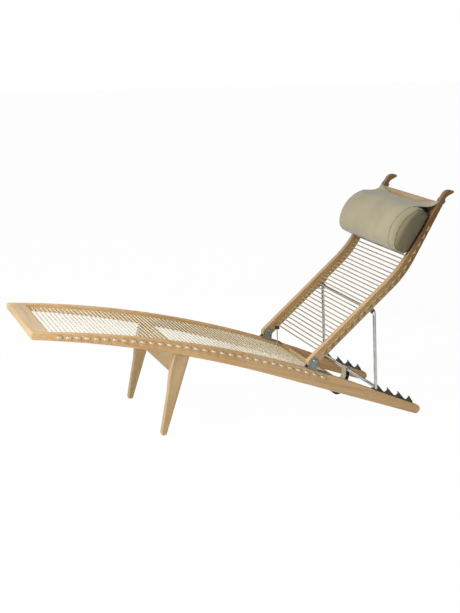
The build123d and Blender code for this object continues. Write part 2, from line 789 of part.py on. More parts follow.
# Back rails
bush_radius = bolt_radius + bolt_clearance + bush_wall
with BuildPart() as back_rail_left:
    with BuildSketch(back_plane(-rail_inner)):
        rounded_face(back_corners)
    extrude(amount=rail_thickness)
    fillet(side_edges(back_rail_left), back_edge_round)
    with BuildSketch(back_plane(-rail_inner + overrun)):
        with Locations(*back_holes):
            Circle(rope_hole_radius)
        Circle(bush_radius + screw_clearance)
    extrude(amount=rail_thickness + 2 * overrun, mode=Mode.SUBTRACT)
    cut_dowels(slat_dowels, head_plane(-rail_inner), dowel_radius)
    for head_x, head_z, angle, head_y in saddle_screws_at:
        cut_screw(head_x, head_z, angle, -head_y)
back_rail_left.part.label = "back_rail_left"
export_step(back_rail_left.part, "parts/back_rail_left.step")

with BuildPart() as back_rail_right:
    mirror(back_rail_left.part, about=Plane.XZ)
back_rail_right.part.label = "back_rail_right"
export_step(back_rail_right.part, "parts/back_rail_right.step")

# Bushes in the back rails that turn on the hinge bolts
with BuildPart() as hinge_bushes:
    for side in (-1, 1):
        with BuildSketch(facing_plane(hinge_run, rail_inner, hinge_height, side)):
            Circle(bush_radius)
            Circle(bolt_radius + bolt_clearance, mode=Mode.SUBTRACT)
        extrude(amount=rail_thickness)
hinge_bushes.part.label = "hinge_bushes"
export_step(hinge_bushes.part, "parts/hinge_bushes.step")

# Head slat and its dowels
with BuildPart() as head_slat:
    with BuildSketch(head_plane(board_half)):
        with Locations(((slat_bottom + slat_top) / 2, -slat_thickness / 2)):
            Rectangle(slat_top - slat_bottom, slat_thickness)
        fillet(vertices(), board_edge_round)
    extrude(amount=2 * board_half)
    cut_dowels(slat_dowels, head_plane(-board_half), dowel_radius)
    cut_dowels(slat_dowels, head_plane(board_half), dowel_radius)
head_slat.part.label = "head_slat"
export_step(head_slat.part, "parts/head_slat.step")

with BuildPart() as head_slat_dowels:
    for side in (-1, 1):
        with BuildSketch(head_plane(side * rail_inner)):
            with Locations(*slat_dowels):
                Circle(dowel_radius - screw_clearance)
        extrude(amount=dowel_depth - glue_gap, both=True)
head_slat_dowels.part.label = "head_slat_dowels"
export_step(head_slat_dowels.part, "parts/head_slat_dowels.step")

# Clamp on the lower end of the back lacing, inside the far rail
back_places = [from_back(u, w) for u, w in back_holes]
clamp_y = rail_inner - clamp_gap - clamp_depth / 2
clamp_top = back_places[0][1] - rope_bend_radius - rope_radius - clamp_gap
clamp_x = shift + back_places[0][0]
with BuildPart() as lacing_clamp:
    with BuildSketch(Plane.XY.offset(clamp_top - clamp_height)):
        with Locations((clamp_x, clamp_y)):
            Rectangle(clamp_length, clamp_depth)
    extrude(amount=clamp_height)
    fillet(edges(), clamp_edge_round)
lacing_clamp.part.label = "lacing_clamp"
export_step(lacing_clamp.part, "parts/lacing_clamp.step")

# Loose end of the back lacing, hanging from the clamp
with BuildPart() as lacing_tail:
    with BuildSketch(Plane.XY.offset(clamp_top - clamp_height)):
        with Locations((clamp_x, clamp_y)):
            Circle(tail_diameter / 2)
    extrude(amount=-tail_length)
lacing_tail.part.label = "lacing_tail"
export_step(lacing_tail.part, "parts/lacing_tail.step")

# Back lacing, from the clamp up to a knot by the head slat
back_route = [(clamp_x, clamp_y, clamp_top)] + lacing_route(back_places, clamp_y, knot_face)
with BuildPart() as back_lacing:
    lay_rope(back_route)
    with Locations((shift + back_places[-1][0], knot_face, back_places[-1][1])):
        Sphere(knot_radius)
back_lacing.part.label = "back_lacing"
export_step(back_lacing.part, "parts/back_lacing.step")

# Saddles that carry the prop loop
saddle_radius = prop_radius + saddle_clearance + saddle_wall
with BuildPart() as saddle_left:
    with BuildSketch(back_plane(-saddle_middle + saddle_width / 2)):
        with Locations((prop_pivot_run, -back_rear_depth - saddle_plate_thickness / 2)):
            Rectangle(saddle_plate_length, saddle_plate_thickness)
        with Locations((prop_pivot_run, -(back_rear_depth + prop_pivot_depth) / 2)):
            Rectangle(2 * saddle_radius, prop_pivot_depth - back_rear_depth)
        with Locations((prop_pivot_run, -prop_pivot_depth)):
            Circle(saddle_radius)
            Circle(prop_radius + saddle_clearance, mode=Mode.SUBTRACT)
    extrude(amount=saddle_width)
    for head_x, head_z, angle, head_y in saddle_screws_at:
        cut_screw(head_x, head_z, angle, -head_y)
saddle_left.part.label = "saddle_left"
export_step(saddle_left.part, "parts/saddle_left.step")

with BuildPart() as saddle_right:
    mirror(saddle_left.part, about=Plane.XZ)
saddle_right.part.label = "saddle_right"
export_step(saddle_right.part, "parts/saddle_right.step")

with BuildPart() as saddle_screws:
    for side in (-1, 1):
        for head_x, head_z, angle, head_y in saddle_screws_at:
            add_screw(head_x, head_z, angle, side * head_y)
saddle_screws.part.label = "saddle_screws"
export_step(saddle_screws.part, "parts/saddle_screws.step")

# Prop loop: round steel bent to a closed rectangle, its lower corners mitred
pivot_x, pivot_z = from_back(prop_pivot_run, -prop_pivot_depth)
notch_z = notch_foot_z + rod_rise * tail_cos
prop_length = hypot(notch_run - pivot_x, notch_z - pivot_z)
prop_half = half_width - prop_leg_inset
prop_down = ((notch_run - pivot_x) / prop_length, (notch_z - pivot_z) / prop_length)
prop_plane = Plane(origin=(shift + pivot_x, 0, pivot_z), x_dir=(0, 1, 0),
                   z_dir=(prop_down[1], 0, -prop_down[0]))
with BuildPart() as prop_loop:
    with BuildLine(prop_plane) as prop_line:
        FilletPolyline((0, prop_length), (prop_half, prop_length), (prop_half, 0), (-prop_half, 0),
                       (-prop_half, prop_length), radius=[0, 0, prop_bend_radius, prop_bend_radius, 0],
                       close=True)
    prop_start = Plane(origin=prop_plane.from_local_coords((0, prop_length, 0)), z_dir=(0, 1, 0))
    with BuildSketch(prop_start) as prop_section:
        Circle(prop_radius)
    sweep(prop_section.sketch, path=prop_line.wires()[0], transition=Transition.RIGHT)
prop_loop.part.label = "prop_loop"
export_step(prop_loop.part, "parts/prop_loop.step")

# Pull strap: a band of webbing sewn round the lower rod of the prop loop
strap_x = notch_run - strap_drop * sin(radians(strap_lean))
strap_z = notch_z - strap_drop * cos(radians(strap_lean))


def strap_outline(inset):
    """Teardrop round the rod and the hand loop below it."""
    with Locations((notch_run, notch_z)):
        Circle(prop_radius + prop_seat_clearance + strap_thickness - inset)
    with Locations((strap_x, strap_z)):
        Circle(strap_bottom_radius - inset)


with BuildPart() as pull_strap:
    with BuildSketch(side_plane(strap_centre + strap_width / 2)):
        strap_outline(0)
        make_hull()
    extrude(amount=strap_width)
    with BuildSketch(side_plane(strap_centre + strap_width / 2)):
        strap_outline(strap_thickness)
        make_hull()
    extrude(amount=strap_width, mode=Mode.SUBTRACT)
pull_strap.part.label = "pull_strap"
export_step(pull_strap.part, "parts/pull_strap.step")

# Bolster: a stuffed body between two gussets and end panels, in the lines of the upper back
pillow_height = pillow_top - pillow_bottom
pillow_rear = head_front_depth + pillow_gap


def pillow_section(y, depth, shrink):
    """Cross section of the bolster, flat where it lies on the back and full in front."""

    def point(up_share, out_share):
        up = pillow_bottom + shrink + (pillow_height - 2 * shrink) * up_share
        out = pillow_rear + shrink + (depth - 2 * shrink) * out_share
        return up, out

    with BuildSketch(head_plane(y), mode=Mode.PRIVATE) as section:
        with BuildLine():
            Line(*[point(*shares) for shares in pillow_rest_shares])
            for arc_shares in pillow_arc_shares:
                ThreePointArc(*[point(*shares) for shares in arc_shares])
        make_face()
    return section.sketch.faces()[0]


gusset_y = pillow_half_width - pillow_seam_inset
body_y = gusset_y - pillow_gusset
with BuildPart() as bolster:
    loft([
        pillow_section(-body_y, pillow_seam_depth, 0),
        pillow_section(0, pillow_depth, 0),
        pillow_section(body_y, pillow_seam_depth, 0),
    ])
    for side in (-1, 1):
        loft([
            pillow_section(side * body_y, pillow_seam_depth, 0),
            pillow_section(side * gusset_y, pillow_end_depth, 0),
            pillow_section(side * pillow_half_width, pillow_end_depth, pillow_panel_shrink),
        ], ruled=True)
bolster.part.label = "bolster"
export_step(bolster.part, "parts/bolster.step")

# Flap sewn to the top of the bolster, its upper edge cut to a hollow between two corners
flap_middle = head_front_depth + loop_thickness
flap_reach = flap_corner - pillow_top
with BuildPart() as pillow_flap:
    with BuildSketch(head_plane(flap_half_width)):
        with BuildLine() as flap_line:
            FilletPolyline(
                (pillow_top + flap_edge_lift + flap_thickness / 2,
                 pillow_rear + pillow_seam_depth * flap_rise_share),
                (pillow_top + flap_reach * flap_bend_shares[0],
                 flap_middle + pillow_seam_depth * flap_bend_shares[1]),
                (pillow_top + flap_reach * flap_landing_share, flap_middle),
                (flap_corner, flap_middle),
                radius=flap_bend_radius,
            )
        trace(line_width=flap_thickness)
    extrude(amount=2 * flap_half_width)
    corner_x, corner_z = from_back(*from_head(flap_corner, 0))
    lean = radians(back_angle + head_angle)
    hollow_plane = Plane(origin=(shift + corner_x, 0, corner_z), x_dir=(0, 1, 0),
                         z_dir=(-sin(lean), 0, cos(lean)))
    hollow_half = flap_half_width - loop_width
    with BuildSketch(hollow_plane):
        with BuildLine():
            rim = ThreePointArc((-hollow_half, 0), (0, flap_dip), (hollow_half, 0))
            Line(rim @ 1, rim @ 0)
        make_face()
    extrude(amount=pillow_depth, both=True, mode=Mode.SUBTRACT)
pillow_flap.part.label = "pillow_flap"
export_step(pillow_flap.part, "parts/pillow_flap.step")


def cross_plane(s):
    """Plane across a back rail at a place on the upper back."""
    x, z = from_back(*from_head(s, 0))
    angle = radians(back_angle + head_angle)
    return Plane(origin=(shift + x, 0, z), x_dir=(0, 1, 0), z_dir=(cos(angle), 0, sin(angle)))


# Tape loops round the back rails, sewn to the flap's corners
loop_near = rail_inner - side_gap
loop_far = half_width + side_gap
loop_front = head_front_depth + side_gap
loop_rear = -head_rear_depth
with BuildPart() as pillow_loop_left:
    with BuildSketch(cross_plane(loop_start)):
        with Locations((-(loop_near + loop_far) / 2, (loop_front + loop_rear) / 2)):
            RectangleRounded(loop_far - loop_near + 2 * loop_thickness,
                             loop_front - loop_rear + 2 * loop_thickness, back_edge_round + loop_thickness)
            RectangleRounded(loop_far - loop_near, loop_front - loop_rear, back_edge_round,
                             mode=Mode.SUBTRACT)
    extrude(amount=loop_width)
pillow_loop_left.part.label = "pillow_loop_left"
export_step(pillow_loop_left.part, "parts/pillow_loop_left.step")

with BuildPart() as pillow_loop_right:
    mirror(pillow_loop_left.part, about=Plane.XZ)
pillow_loop_right.part.label = "pillow_loop_right"
export_step(pillow_loop_right.part, "parts/pillow_loop_right.step")

lift_x, lift_z = from_back(*from_head(flap_corner, flap_middle))
print("shift", round(shift, 3), "pivot", round(shift + pivot_x, 3), round(pivot_z, 3),
      "hinge", round(shift + hinge_run, 3), hinge_height,
      "notch", round(shift + notch_run, 3), round(notch_z, 3), "prop length", round(prop_length, 2),
      "lift", round(shift + lift_x, 3), round(lift_z, 3))
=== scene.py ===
import json
import math
import random

import bmesh
import bpy
import numpy as np
from mathutils import Matrix, Vector
from mathutils.bvhtree import BVHTree


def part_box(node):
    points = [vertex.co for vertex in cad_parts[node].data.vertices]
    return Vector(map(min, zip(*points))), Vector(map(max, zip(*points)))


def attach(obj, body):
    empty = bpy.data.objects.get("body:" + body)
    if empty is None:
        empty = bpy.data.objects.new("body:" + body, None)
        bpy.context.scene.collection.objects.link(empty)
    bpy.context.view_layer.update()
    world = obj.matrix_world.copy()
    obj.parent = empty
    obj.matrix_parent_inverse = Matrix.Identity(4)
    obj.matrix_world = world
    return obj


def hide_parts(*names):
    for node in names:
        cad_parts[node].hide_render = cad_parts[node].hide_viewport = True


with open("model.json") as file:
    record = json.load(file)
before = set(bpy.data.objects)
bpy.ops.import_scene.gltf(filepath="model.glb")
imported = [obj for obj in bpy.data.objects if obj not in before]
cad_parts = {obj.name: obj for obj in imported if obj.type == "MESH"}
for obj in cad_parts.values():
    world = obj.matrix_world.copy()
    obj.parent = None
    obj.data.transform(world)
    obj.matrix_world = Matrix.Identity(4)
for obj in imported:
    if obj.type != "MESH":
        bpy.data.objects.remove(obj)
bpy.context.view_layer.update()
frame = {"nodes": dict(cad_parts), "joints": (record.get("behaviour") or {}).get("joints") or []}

# Seat rails
# Two bowed boards of solid oak that carry the laced seat and stand on the floor at the head end.
# They are sawn from straight planks, planed and oiled, so their grain runs along the chord of the bow.
MM = 0.001
GRAIN_LENGTH = 450 * MM
GRAIN_WIDTH = 11 * MM
GRAIN_DRIFT = 167 * MM
GRAIN_SWAY = 12 * MM
BOARD_TONE = 286 * MM
PORE_LENGTH = 14 * MM
PORE_WIDTH = 1.1 * MM
# Heights between which the oiled oak is painted darker towards the horns, as painted shade.
SHADE_PAINTED_FROM = 420 * MM
SHADE_PAINTED_UP_TO = 720 * MM


def srgb(code, alpha=1.0):
    """A hex colour as the linear values that the shaders take."""
    parts = [int(code[i:i + 2], 16) / 255 for i in (1, 3, 5)]
    return [c / 12.92 if c <= 0.04045 else ((c + 0.055) / 1.055) ** 2.4 for c in parts] + [alpha]


def add(tree, kind, inputs=None, tones=(), **settings):
    """A shader node with its settings, its input values, the sockets that feed it and a ramp's tones.

    The tones are pairs of a place from 0 to 1 and a hex colour.
    """
    made = tree.nodes.new("ShaderNode" + kind)
    for name, value in settings.items():
        setattr(made, name, value)
    for _ in tones[2:]:
        made.color_ramp.elements.new(1.0)
    for number, (at, code) in enumerate(tones):
        element = made.color_ramp.elements[number]
        element.position = at
        element.color = srgb(code)
    for name, value in (inputs or {}).items():
        socket = made.inputs[name]
        if isinstance(value, bpy.types.NodeSocket):
            tree.links.new(value, socket)
        elif isinstance(value, str):
            socket.default_value = srgb(value)
        else:
            socket.default_value = value
    return made


def finish_surface(name, **shader_values):
    """A new material with its shader values, its tree and its place in the object, in metres."""
    material = bpy.data.materials.new(name)
    material.use_nodes = True
    tree = material.node_tree
    shader = tree.nodes["Principled BSDF"]
    for label, value in shader_values.items():
        shader.inputs[label.replace("_", " ")].default_value = value
    place = add(tree, "TexCoord").outputs["Object"]
    return material, tree, shader, place


def give(material, *names):
    """The material on each of these pieces of the frame."""
    for name in names:
        slots = frame["nodes"][name].data.materials
        slots.clear()
        slots.append(material)


def oiled_oak(name, along, light, middle, dark, shaded_top="#FFFFFF"):
    """Planed and oiled oak, with its grain along one way and painted shade that darkens its upper end.

    Oil keeps a satin gloss on the flat of the grain, and the open pores stay dull, so the eye sees long
    soft streaks with fine dark flecks. Real pores are 0.3 mm wide and are drawn coarser, so that they show.
    """
    material, tree, shader, place = finish_surface(name, Roughness=0.5)
    turn = Vector(along).normalized().rotation_difference(Vector((1, 0, 0))).to_euler()
    grain = add(tree, "Mapping", {"Vector": place, "Rotation": tuple(turn)}).outputs["Vector"]
    drift = add(tree, "TexNoise", {"Vector": grain, "Scale": 1 / GRAIN_DRIFT, "Detail": 2.0}).outputs["Color"]
    bent = add(tree, "MixRGB", {"Fac": GRAIN_SWAY, "Color1": grain, "Color2": drift}).outputs["Color"]
    ring_scale = (1 / GRAIN_LENGTH, 1 / GRAIN_WIDTH, 1 / GRAIN_WIDTH)
    rings_at = add(tree, "Mapping", {"Vector": bent, "Scale": ring_scale})
    rings = add(tree, "TexNoise", {"Vector": rings_at.outputs["Vector"], "Scale": 1.0, "Detail": 5.0,
                                   "Roughness": 0.62}).outputs["Fac"]
    pore_scale = (1 / PORE_LENGTH, 1 / PORE_WIDTH, 1 / PORE_WIDTH)
    pores_at = add(tree, "Mapping", {"Vector": grain, "Scale": pore_scale})
    pores = add(tree, "TexNoise", {"Vector": pores_at.outputs["Vector"], "Scale": 1.0,
                                   "Detail": 2.0}).outputs["Fac"]
    figure = add(tree, "ValToRGB", {"Fac": rings}, tones=((0.30, light), (0.52, middle), (0.74, dark)))
    flecks = add(tree, "ValToRGB", {"Fac": pores}, tones=((0.28, "#BBA68A"), (0.44, "#FFFFFF")))
    colour = add(tree, "MixRGB", {"Fac": 0.4, "Color1": figure.outputs["Color"],
                                  "Color2": flecks.outputs["Color"]}, blend_type="MULTIPLY")
    board = add(tree, "TexNoise", {"Vector": place, "Scale": 1 / BOARD_TONE, "Detail": 1.0}).outputs["Fac"]
    slow = add(tree, "ValToRGB", {"Fac": board}, tones=((0.35, "#F2EADC"), (0.65, "#FFFFFF")))
    toned = add(tree, "MixRGB", {"Fac": 1.0, "Color1": colour.outputs["Color"],
                                 "Color2": slow.outputs["Color"]}, blend_type="MULTIPLY")
    # Painted shade: the oak grows darker from the lower height to the upper one.
    height = add(tree, "SeparateXYZ", {"Vector": place}).outputs["Z"]
    upper = add(tree, "MapRange", {"Value": height, "From Min": SHADE_PAINTED_FROM, "From Max": SHADE_PAINTED_UP_TO})
    painted_shade = add(tree, "ValToRGB", {"Fac": upper.outputs["Result"]}, tones=((0.0, "#FFFFFF"), (1.0, shaded_top)))
    shaded_oak = add(tree, "MixRGB", {"Fac": 1.0, "Color1": toned.outputs["Color"],
                                "Color2": painted_shade.outputs["Color"]}, blend_type="MULTIPLY")
    tree.links.new(shaded_oak.outputs["Color"], shader.inputs["Base Color"])
    gloss = add(tree, "MapRange", {"Value": pores, "To Min": 0.62, "To Max": 0.42}).outputs["Result"]
    tree.links.new(gloss, shader.inputs["Roughness"])
    relief = add(tree, "Bump", {"Height": pores, "Strength": 0.25, "Distance": 0.2 * MM}).outputs["Normal"]
    tree.links.new(relief, shader.inputs["Normal"])
    return material


rail_low, rail_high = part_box("seat_rail_left")
rail_fall = (rail_high.x - rail_low.x, 0, -(rail_high.z - rail_low.z))
give(oiled_oak("oiled_oak_seat_rails", rail_fall, "#D4B488", "#C9A677", "#B79264"),
     "seat_rail_left", "seat_rail_right")

# Legs and cross boards
# Two tapered oak legs with an apron between them, a stretcher near the hinges and a foot board at the end.
# All are planed and oiled like the rails. The cross boards have their grain across the chair.
give(oiled_oak("oiled_oak_legs", (0.3, 0, 1), "#C0A983", "#B59B72", "#A58A61"), "leg_left", "leg_right")
give(oiled_oak("oiled_oak_cross_boards", (0, 1, 0), "#C0A983", "#B59B72", "#A58A61"),
     "leg_apron", "rear_stretcher")
give(oiled_oak("oiled_oak_foot_board", (0, 1, 0), "#CCB48F", "#C0A781", "#AF956E"), "foot_board")

# Dowels
# Turned beech pins, glued into both boards of every joint of the seat frame and of the head slat.
# They are hidden once the joints are closed.
FLECK_LENGTH = 4 * MM
FLECK_WIDTH = 1 * MM


def turned_beech(name):
    """Turned beech: pale pink wood with short dark flecks, dull where the lathe left it."""
    material, tree, shader, place = finish_surface(name, Roughness=0.6)
    fleck_scale = (1 / FLECK_WIDTH, 1 / FLECK_LENGTH, 1 / FLECK_WIDTH)
    flecks_at = add(tree, "Mapping", {"Vector": place, "Scale": fleck_scale})
    flecks = add(tree, "TexNoise", {"Vector": flecks_at.outputs["Vector"], "Scale": 1.0,
                                    "Detail": 3.0}).outputs["Fac"]
    colour = add(tree, "ValToRGB", {"Fac": flecks}, tones=((0.3, "#B98F6A"), (0.55, "#D9B48F")))
    tree.links.new(colour.outputs["Color"], shader.inputs["Base Color"])
    return material


give(turned_beech("turned_beech_dowels"), "seat_frame_dowels", "head_slat_dowels")

# Seat lacing
# One flag line that crosses the seat through the holes of both rails, with a stitch outside at every turn.
# It is threaded by hand and pulled tight, so it sags only a little and is full at the stitches.
ROPE_RADIUS = 2.5 * MM
ROPE_BEND = 4 * MM
STRAND_STEP = 3.2 * MM
YARN_GRAIN = 1.2 * MM
SOIL_PATCH = 200 * MM
STITCH_LIFT = 2.4 * MM
STITCH_FULLNESS = 1.5
SEAT_SLACK = 1.2 * MM
TEXTURE_WAVE = 20  # a wave texture of scale s repeats every tau / (20 s)
rail_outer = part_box("seat_rail_right")[1].y


def crossings(node):
    """Centres of a lacing's crossings, from the rings of points where they enter the near rail."""
    points = np.array([v.co for v in frame["nodes"][node].data.vertices])
    entry = points[:, 1].min() + ROPE_RADIUS + ROPE_BEND
    ring = points[abs(points[:, 1] - entry) < 0.01 * MM]
    ring = ring[ring[:, 0].argsort()]
    groups = np.split(ring, np.flatnonzero(np.diff(ring[:, 0]) > 1 * MM) + 1)
    return [((g[:, 0].min() + g[:, 0].max()) / 2, (g[:, 2].min() + g[:, 2].max()) / 2) for g in groups]


def laid_rope(name, light, dark, shade):
    """Laid rope of twisted yarn: dull, hairy strands that run aslant, with painted shade where they meet.

    Real strands repeat every 3 mm, as drawn, and the yarn's grain of 0.3 mm is drawn four times as coarse.
    """
    material, tree, shader, place = finish_surface(name, Roughness=0.85, Sheen_Weight=0.15)
    aslant = add(tree, "Mapping", {"Vector": place, "Rotation": (0.0, math.radians(30), math.radians(38))})
    strands = add(tree, "TexWave", {"Vector": aslant.outputs["Vector"],
                                    "Scale": math.tau / (TEXTURE_WAVE * STRAND_STEP),
                                    "Distortion": 0.4, "Detail": 1.0, "Detail Scale": 3.0}).outputs["Fac"]
    yarn = add(tree, "TexNoise", {"Vector": place, "Scale": 1 / YARN_GRAIN, "Detail": 2.0}).outputs["Fac"]
    soil = add(tree, "TexNoise", {"Vector": place, "Scale": 1 / SOIL_PATCH, "Detail": 2.0}).outputs["Fac"]
    # Painted shade: the strands are darker in the grooves where they meet.
    twisted = add(tree, "ValToRGB", {"Fac": strands}, tones=((0.0, dark), (0.3, light)))
    hairs = add(tree, "ValToRGB", {"Fac": yarn}, tones=((0.3, "#3A3A3A"), (0.7, "#000000")))
    colour = add(tree, "MixRGB", {"Fac": hairs.outputs["Color"], "Color1": twisted.outputs["Color"],
                                  "Color2": shade})
    soiled = add(tree, "ValToRGB", {"Fac": soil}, tones=((0.35, "#EFE9DC"), (0.6, "#FFFFFF")))
    toned = add(tree, "MixRGB", {"Fac": 1.0, "Color1": colour.outputs["Color"],
                                 "Color2": soiled.outputs["Color"]}, blend_type="MULTIPLY")
    tree.links.new(toned.outputs["Color"], shader.inputs["Base Color"])
    relief = add(tree, "Bump", {"Height": strands, "Strength": 0.25, "Distance": 0.5 * MM}).outputs["Normal"]
    tree.links.new(relief, shader.inputs["Normal"])
    return material


def rope_curve(name, points, radius, material):
    """A rope on one smooth curve over its route's points."""
    line = bpy.data.curves.new(name, "CURVE")
    line.dimensions = "3D"
    line.bevel_depth = radius
    line.bevel_resolution = 2
    line.resolution_u = 5
    line.use_fill_caps = True
    spline = line.splines.new("NURBS")
    spline.points.add(len(points) - 1)
    for place, point in zip(spline.points, points):
        place.co = (*point, 1.0)
        place.radius = STITCH_FULLNESS if abs(point[1]) > rail_outer else 1.0
    spline.order_u = 3
    spline.use_endpoint_u = True
    line.materials.append(material)
    rope = bpy.data.objects.new(name, line)
    bpy.context.scene.collection.objects.link(rope)
    return rope


def lacing_points(places, stitch_y, inner_y, slack, seed):
    """Points of a lacing that crosses at each place in turn, from the far rail to the near one and back."""
    loose = random.Random(seed)
    points = []
    for number, (x, z) in enumerate(places):
        toward = 1 if number % 2 == 0 else -1
        dip = slack * loose.uniform(0.2, 1.0)
        drift = slack * loose.uniform(-0.5, 0.5)
        points.append((x, toward * stitch_y, z))
        points.append((x, toward * inner_y, z))
        points.append((x + drift, loose.uniform(-0.1, 0.1), z - dip))
        points.append((x, -toward * inner_y, z))
        points.append((x, -toward * stitch_y, z))
    return points


stitch_y = rail_outer + ROPE_RADIUS + STITCH_LIFT
inner_y = rail_outer - 3 * ROPE_RADIUS
seat_places = crossings("seat_lacing")
seat_rope = laid_rope("laid_rope_seat", "#C6BCA3", "#BFB59A", "#A99D80")
seat_points = lacing_points(seat_places, stitch_y, inner_y, SEAT_SLACK, seed=3)
seat_lacing = rope_curve("seat_rope", seat_points, ROPE_RADIUS, seat_rope)
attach(seat_lacing, "seat_frame")
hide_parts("seat_lacing")

# Stopper knots of the seat
# Small knots in both ends of the seat's rope, pulled up against the outside of the rail.
# Each is one and a half close turns with the end tucked in.
KNOT_REACH = 2.5 * MM
KNOT_RISE = 3.4 * MM
KNOT_SUNK = 1.5 * MM
KNOT_TURNS = 1.6
KNOT_THINNING = 0.75
KNOT_STEPS = 18
knot_y = rail_outer + ROPE_RADIUS


def end_knot(name, centre, material, seed):
    """A stopper knot that winds outward from the hole, its first turn at an angle of its own."""
    first = random.Random(seed).uniform(0, math.tau)
    points = []
    for step in range(KNOT_STEPS + 1):
        share = step / KNOT_STEPS
        angle = first + share * math.tau * KNOT_TURNS
        points.append((centre[0] + KNOT_REACH * math.cos(angle), centre[1] - KNOT_SUNK + KNOT_RISE * share,
                       centre[2] + KNOT_REACH * math.sin(angle)))
    return rope_curve(name, points, KNOT_THINNING * ROPE_RADIUS, material)


for label, place in (("first", seat_places[0]), ("last", seat_places[-1])):
    knot = end_knot(f"seat_rope_knot_{label}", (place[0], knot_y, place[1]), seat_rope, seed=len(label))
    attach(knot, "seat_frame")

# Hinges
# Folded steel brackets, screwed on the seat rails. A bolt goes through each and a bush in the back rail.
# The brackets are bead blasted, the bolts, nuts and screws are zinc plated, and the bushes are brass.
CLOUD_SIZE = 18 * MM


def worked_metal(name, light, dark, roughness, metallic=1.0, relief_depth=0.05 * MM, grit=2.5 * MM):
    """Metal with the uneven tone and the marks that its working leaves, drawn coarse enough to show."""
    material, tree, shader, place = finish_surface(name, Metallic=metallic)
    cloud = add(tree, "TexNoise", {"Vector": place, "Scale": 1 / CLOUD_SIZE, "Detail": 3.0}).outputs["Fac"]
    marks = add(tree, "TexNoise", {"Vector": place, "Scale": 1 / grit, "Detail": 4.0}).outputs["Fac"]
    colour = add(tree, "ValToRGB", {"Fac": cloud}, tones=((0.3, dark), (0.7, light)))
    tree.links.new(colour.outputs["Color"], shader.inputs["Base Color"])
    gloss = add(tree, "MapRange", {"Value": marks, "To Min": roughness - 0.06, "To Max": roughness + 0.08})
    tree.links.new(gloss.outputs["Result"], shader.inputs["Roughness"])
    relief = add(tree, "Bump", {"Height": marks, "Strength": 0.3, "Distance": relief_depth}).outputs["Normal"]
    tree.links.new(relief, shader.inputs["Normal"])
    return material


# Blasted steel scatters the light, so it shows as an even grey.
blasted_steel = worked_metal("bead_blasted_steel_hinges", "#8B908C", "#6E736E", 0.42)
# Zinc plating is smoother than the blasted steel and keeps small bright spots.
plated_steel = worked_metal("zinc_plated_steel_fixings", "#A0A3A0", "#818481", 0.28)
give(blasted_steel, "hinge_bracket_left", "hinge_bracket_right")
give(plated_steel, "hinge_bolts", "hinge_nuts", "bracket_screws")
# Turned brass is yellow and fairly glossy.
give(worked_metal("turned_brass_bushes", "#C9A860", "#B08E48", 0.3), "hinge_bushes")

# Racks
# Notched steel strips, screwed on the tails of the seat rails, one notch for each slope.
# Their dark colour, half metal to the eye, is painted shade and painted dark reflection.
# Painted shade: the racks are coloured dark.
give(worked_metal("dark_racks_painted_shade", "#515146", "#32322B", 0.45, metallic=0.75),
     "rack_left", "rack_right", "rack_screws")

# Back rails and head slat
# Two oak rails with claw-shaped horns, joined by an oak slat near the top. They turn on the hinges.
# The oiled oak is painted darker towards the horns, as painted shade.
give(oiled_oak("oiled_oak_back_rails", (0.68, 0, 0.74), "#C9AD83", "#B9996D", "#A08050", shaded_top="#A89573"),
     "back_rail_left", "back_rail_right")
give(oiled_oak("oiled_oak_head_slat", (0, 1, 0), "#9F8966", "#917A57", "#7F6846"), "head_slat")

# Back lacing
# One rope like the seat's, coloured darker as painted shade, threaded through the back rails from the hinges
# up.
# Its lower end leaves the first crossing downwards through a clamp, and its upper end has a stopper knot.
BACK_SLACK = 0.9 * MM
back_places = crossings("back_lacing")
# Painted shade: the back's rope is coloured darker than the seat's.
back_rope = laid_rope("laid_rope_back_painted_shade", "#9E8D67", "#968560", "#82714E")
back_points = lacing_points(back_places, stitch_y, inner_y, BACK_SLACK, seed=5)
clamp_low, clamp_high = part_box("lacing_clamp")
clamp_middle = (clamp_low + clamp_high) / 2
back_points[0:2] = [
    (clamp_middle.x, clamp_middle.y, clamp_high.z),
    (clamp_middle.x, clamp_middle.y, back_places[0][1] - ROPE_BEND),
    (clamp_middle.x, clamp_middle.y, back_places[0][1]),
    (clamp_middle.x, clamp_middle.y - 2 * ROPE_BEND, back_places[0][1]),
]
back_lacing = rope_curve("back_rope", back_points, ROPE_RADIUS, back_rope)
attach(back_lacing, "back")
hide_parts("back_lacing")
back_knot = end_knot("back_rope_knot", (back_places[-1][0], knot_y, back_places[-1][1]), back_rope, seed=8)
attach(back_knot, "back")

# Clamp
# A small block of black plastic that grips the lower end of the back's rope.
# It is moulded in a mould that sparks have eaten to a fine grain.
SPARK_GRAIN = 0.6 * MM


def moulded_plastic(name, base, lit):
    """Injection moulded plastic with a fine grain that dulls it, drawn coarse enough to show."""
    material, tree, shader, place = finish_surface(name, Roughness=0.5)
    spark = add(tree, "TexNoise", {"Vector": place, "Scale": 1 / SPARK_GRAIN, "Detail": 2.0}).outputs["Fac"]
    colour = add(tree, "ValToRGB", {"Fac": spark}, tones=((0.3, base), (0.7, lit)))
    tree.links.new(colour.outputs["Color"], shader.inputs["Base Color"])
    relief = add(tree, "Bump", {"Height": spark, "Strength": 0.2, "Distance": 0.1 * MM}).outputs["Normal"]
    tree.links.new(relief, shader.inputs["Normal"])
    return material


give(moulded_plastic("moulded_black_clamp", "#141414", "#262624"), "lacing_clamp")

# Loose end of the rope
# The end of the back's rope that was left over below the clamp. It hangs free and is cut off bare.
# It is paler than the lacing, whose colour holds painted shade.
TAIL_LENGTH = 60 * MM
TAIL_RADIUS = 2.25 * MM
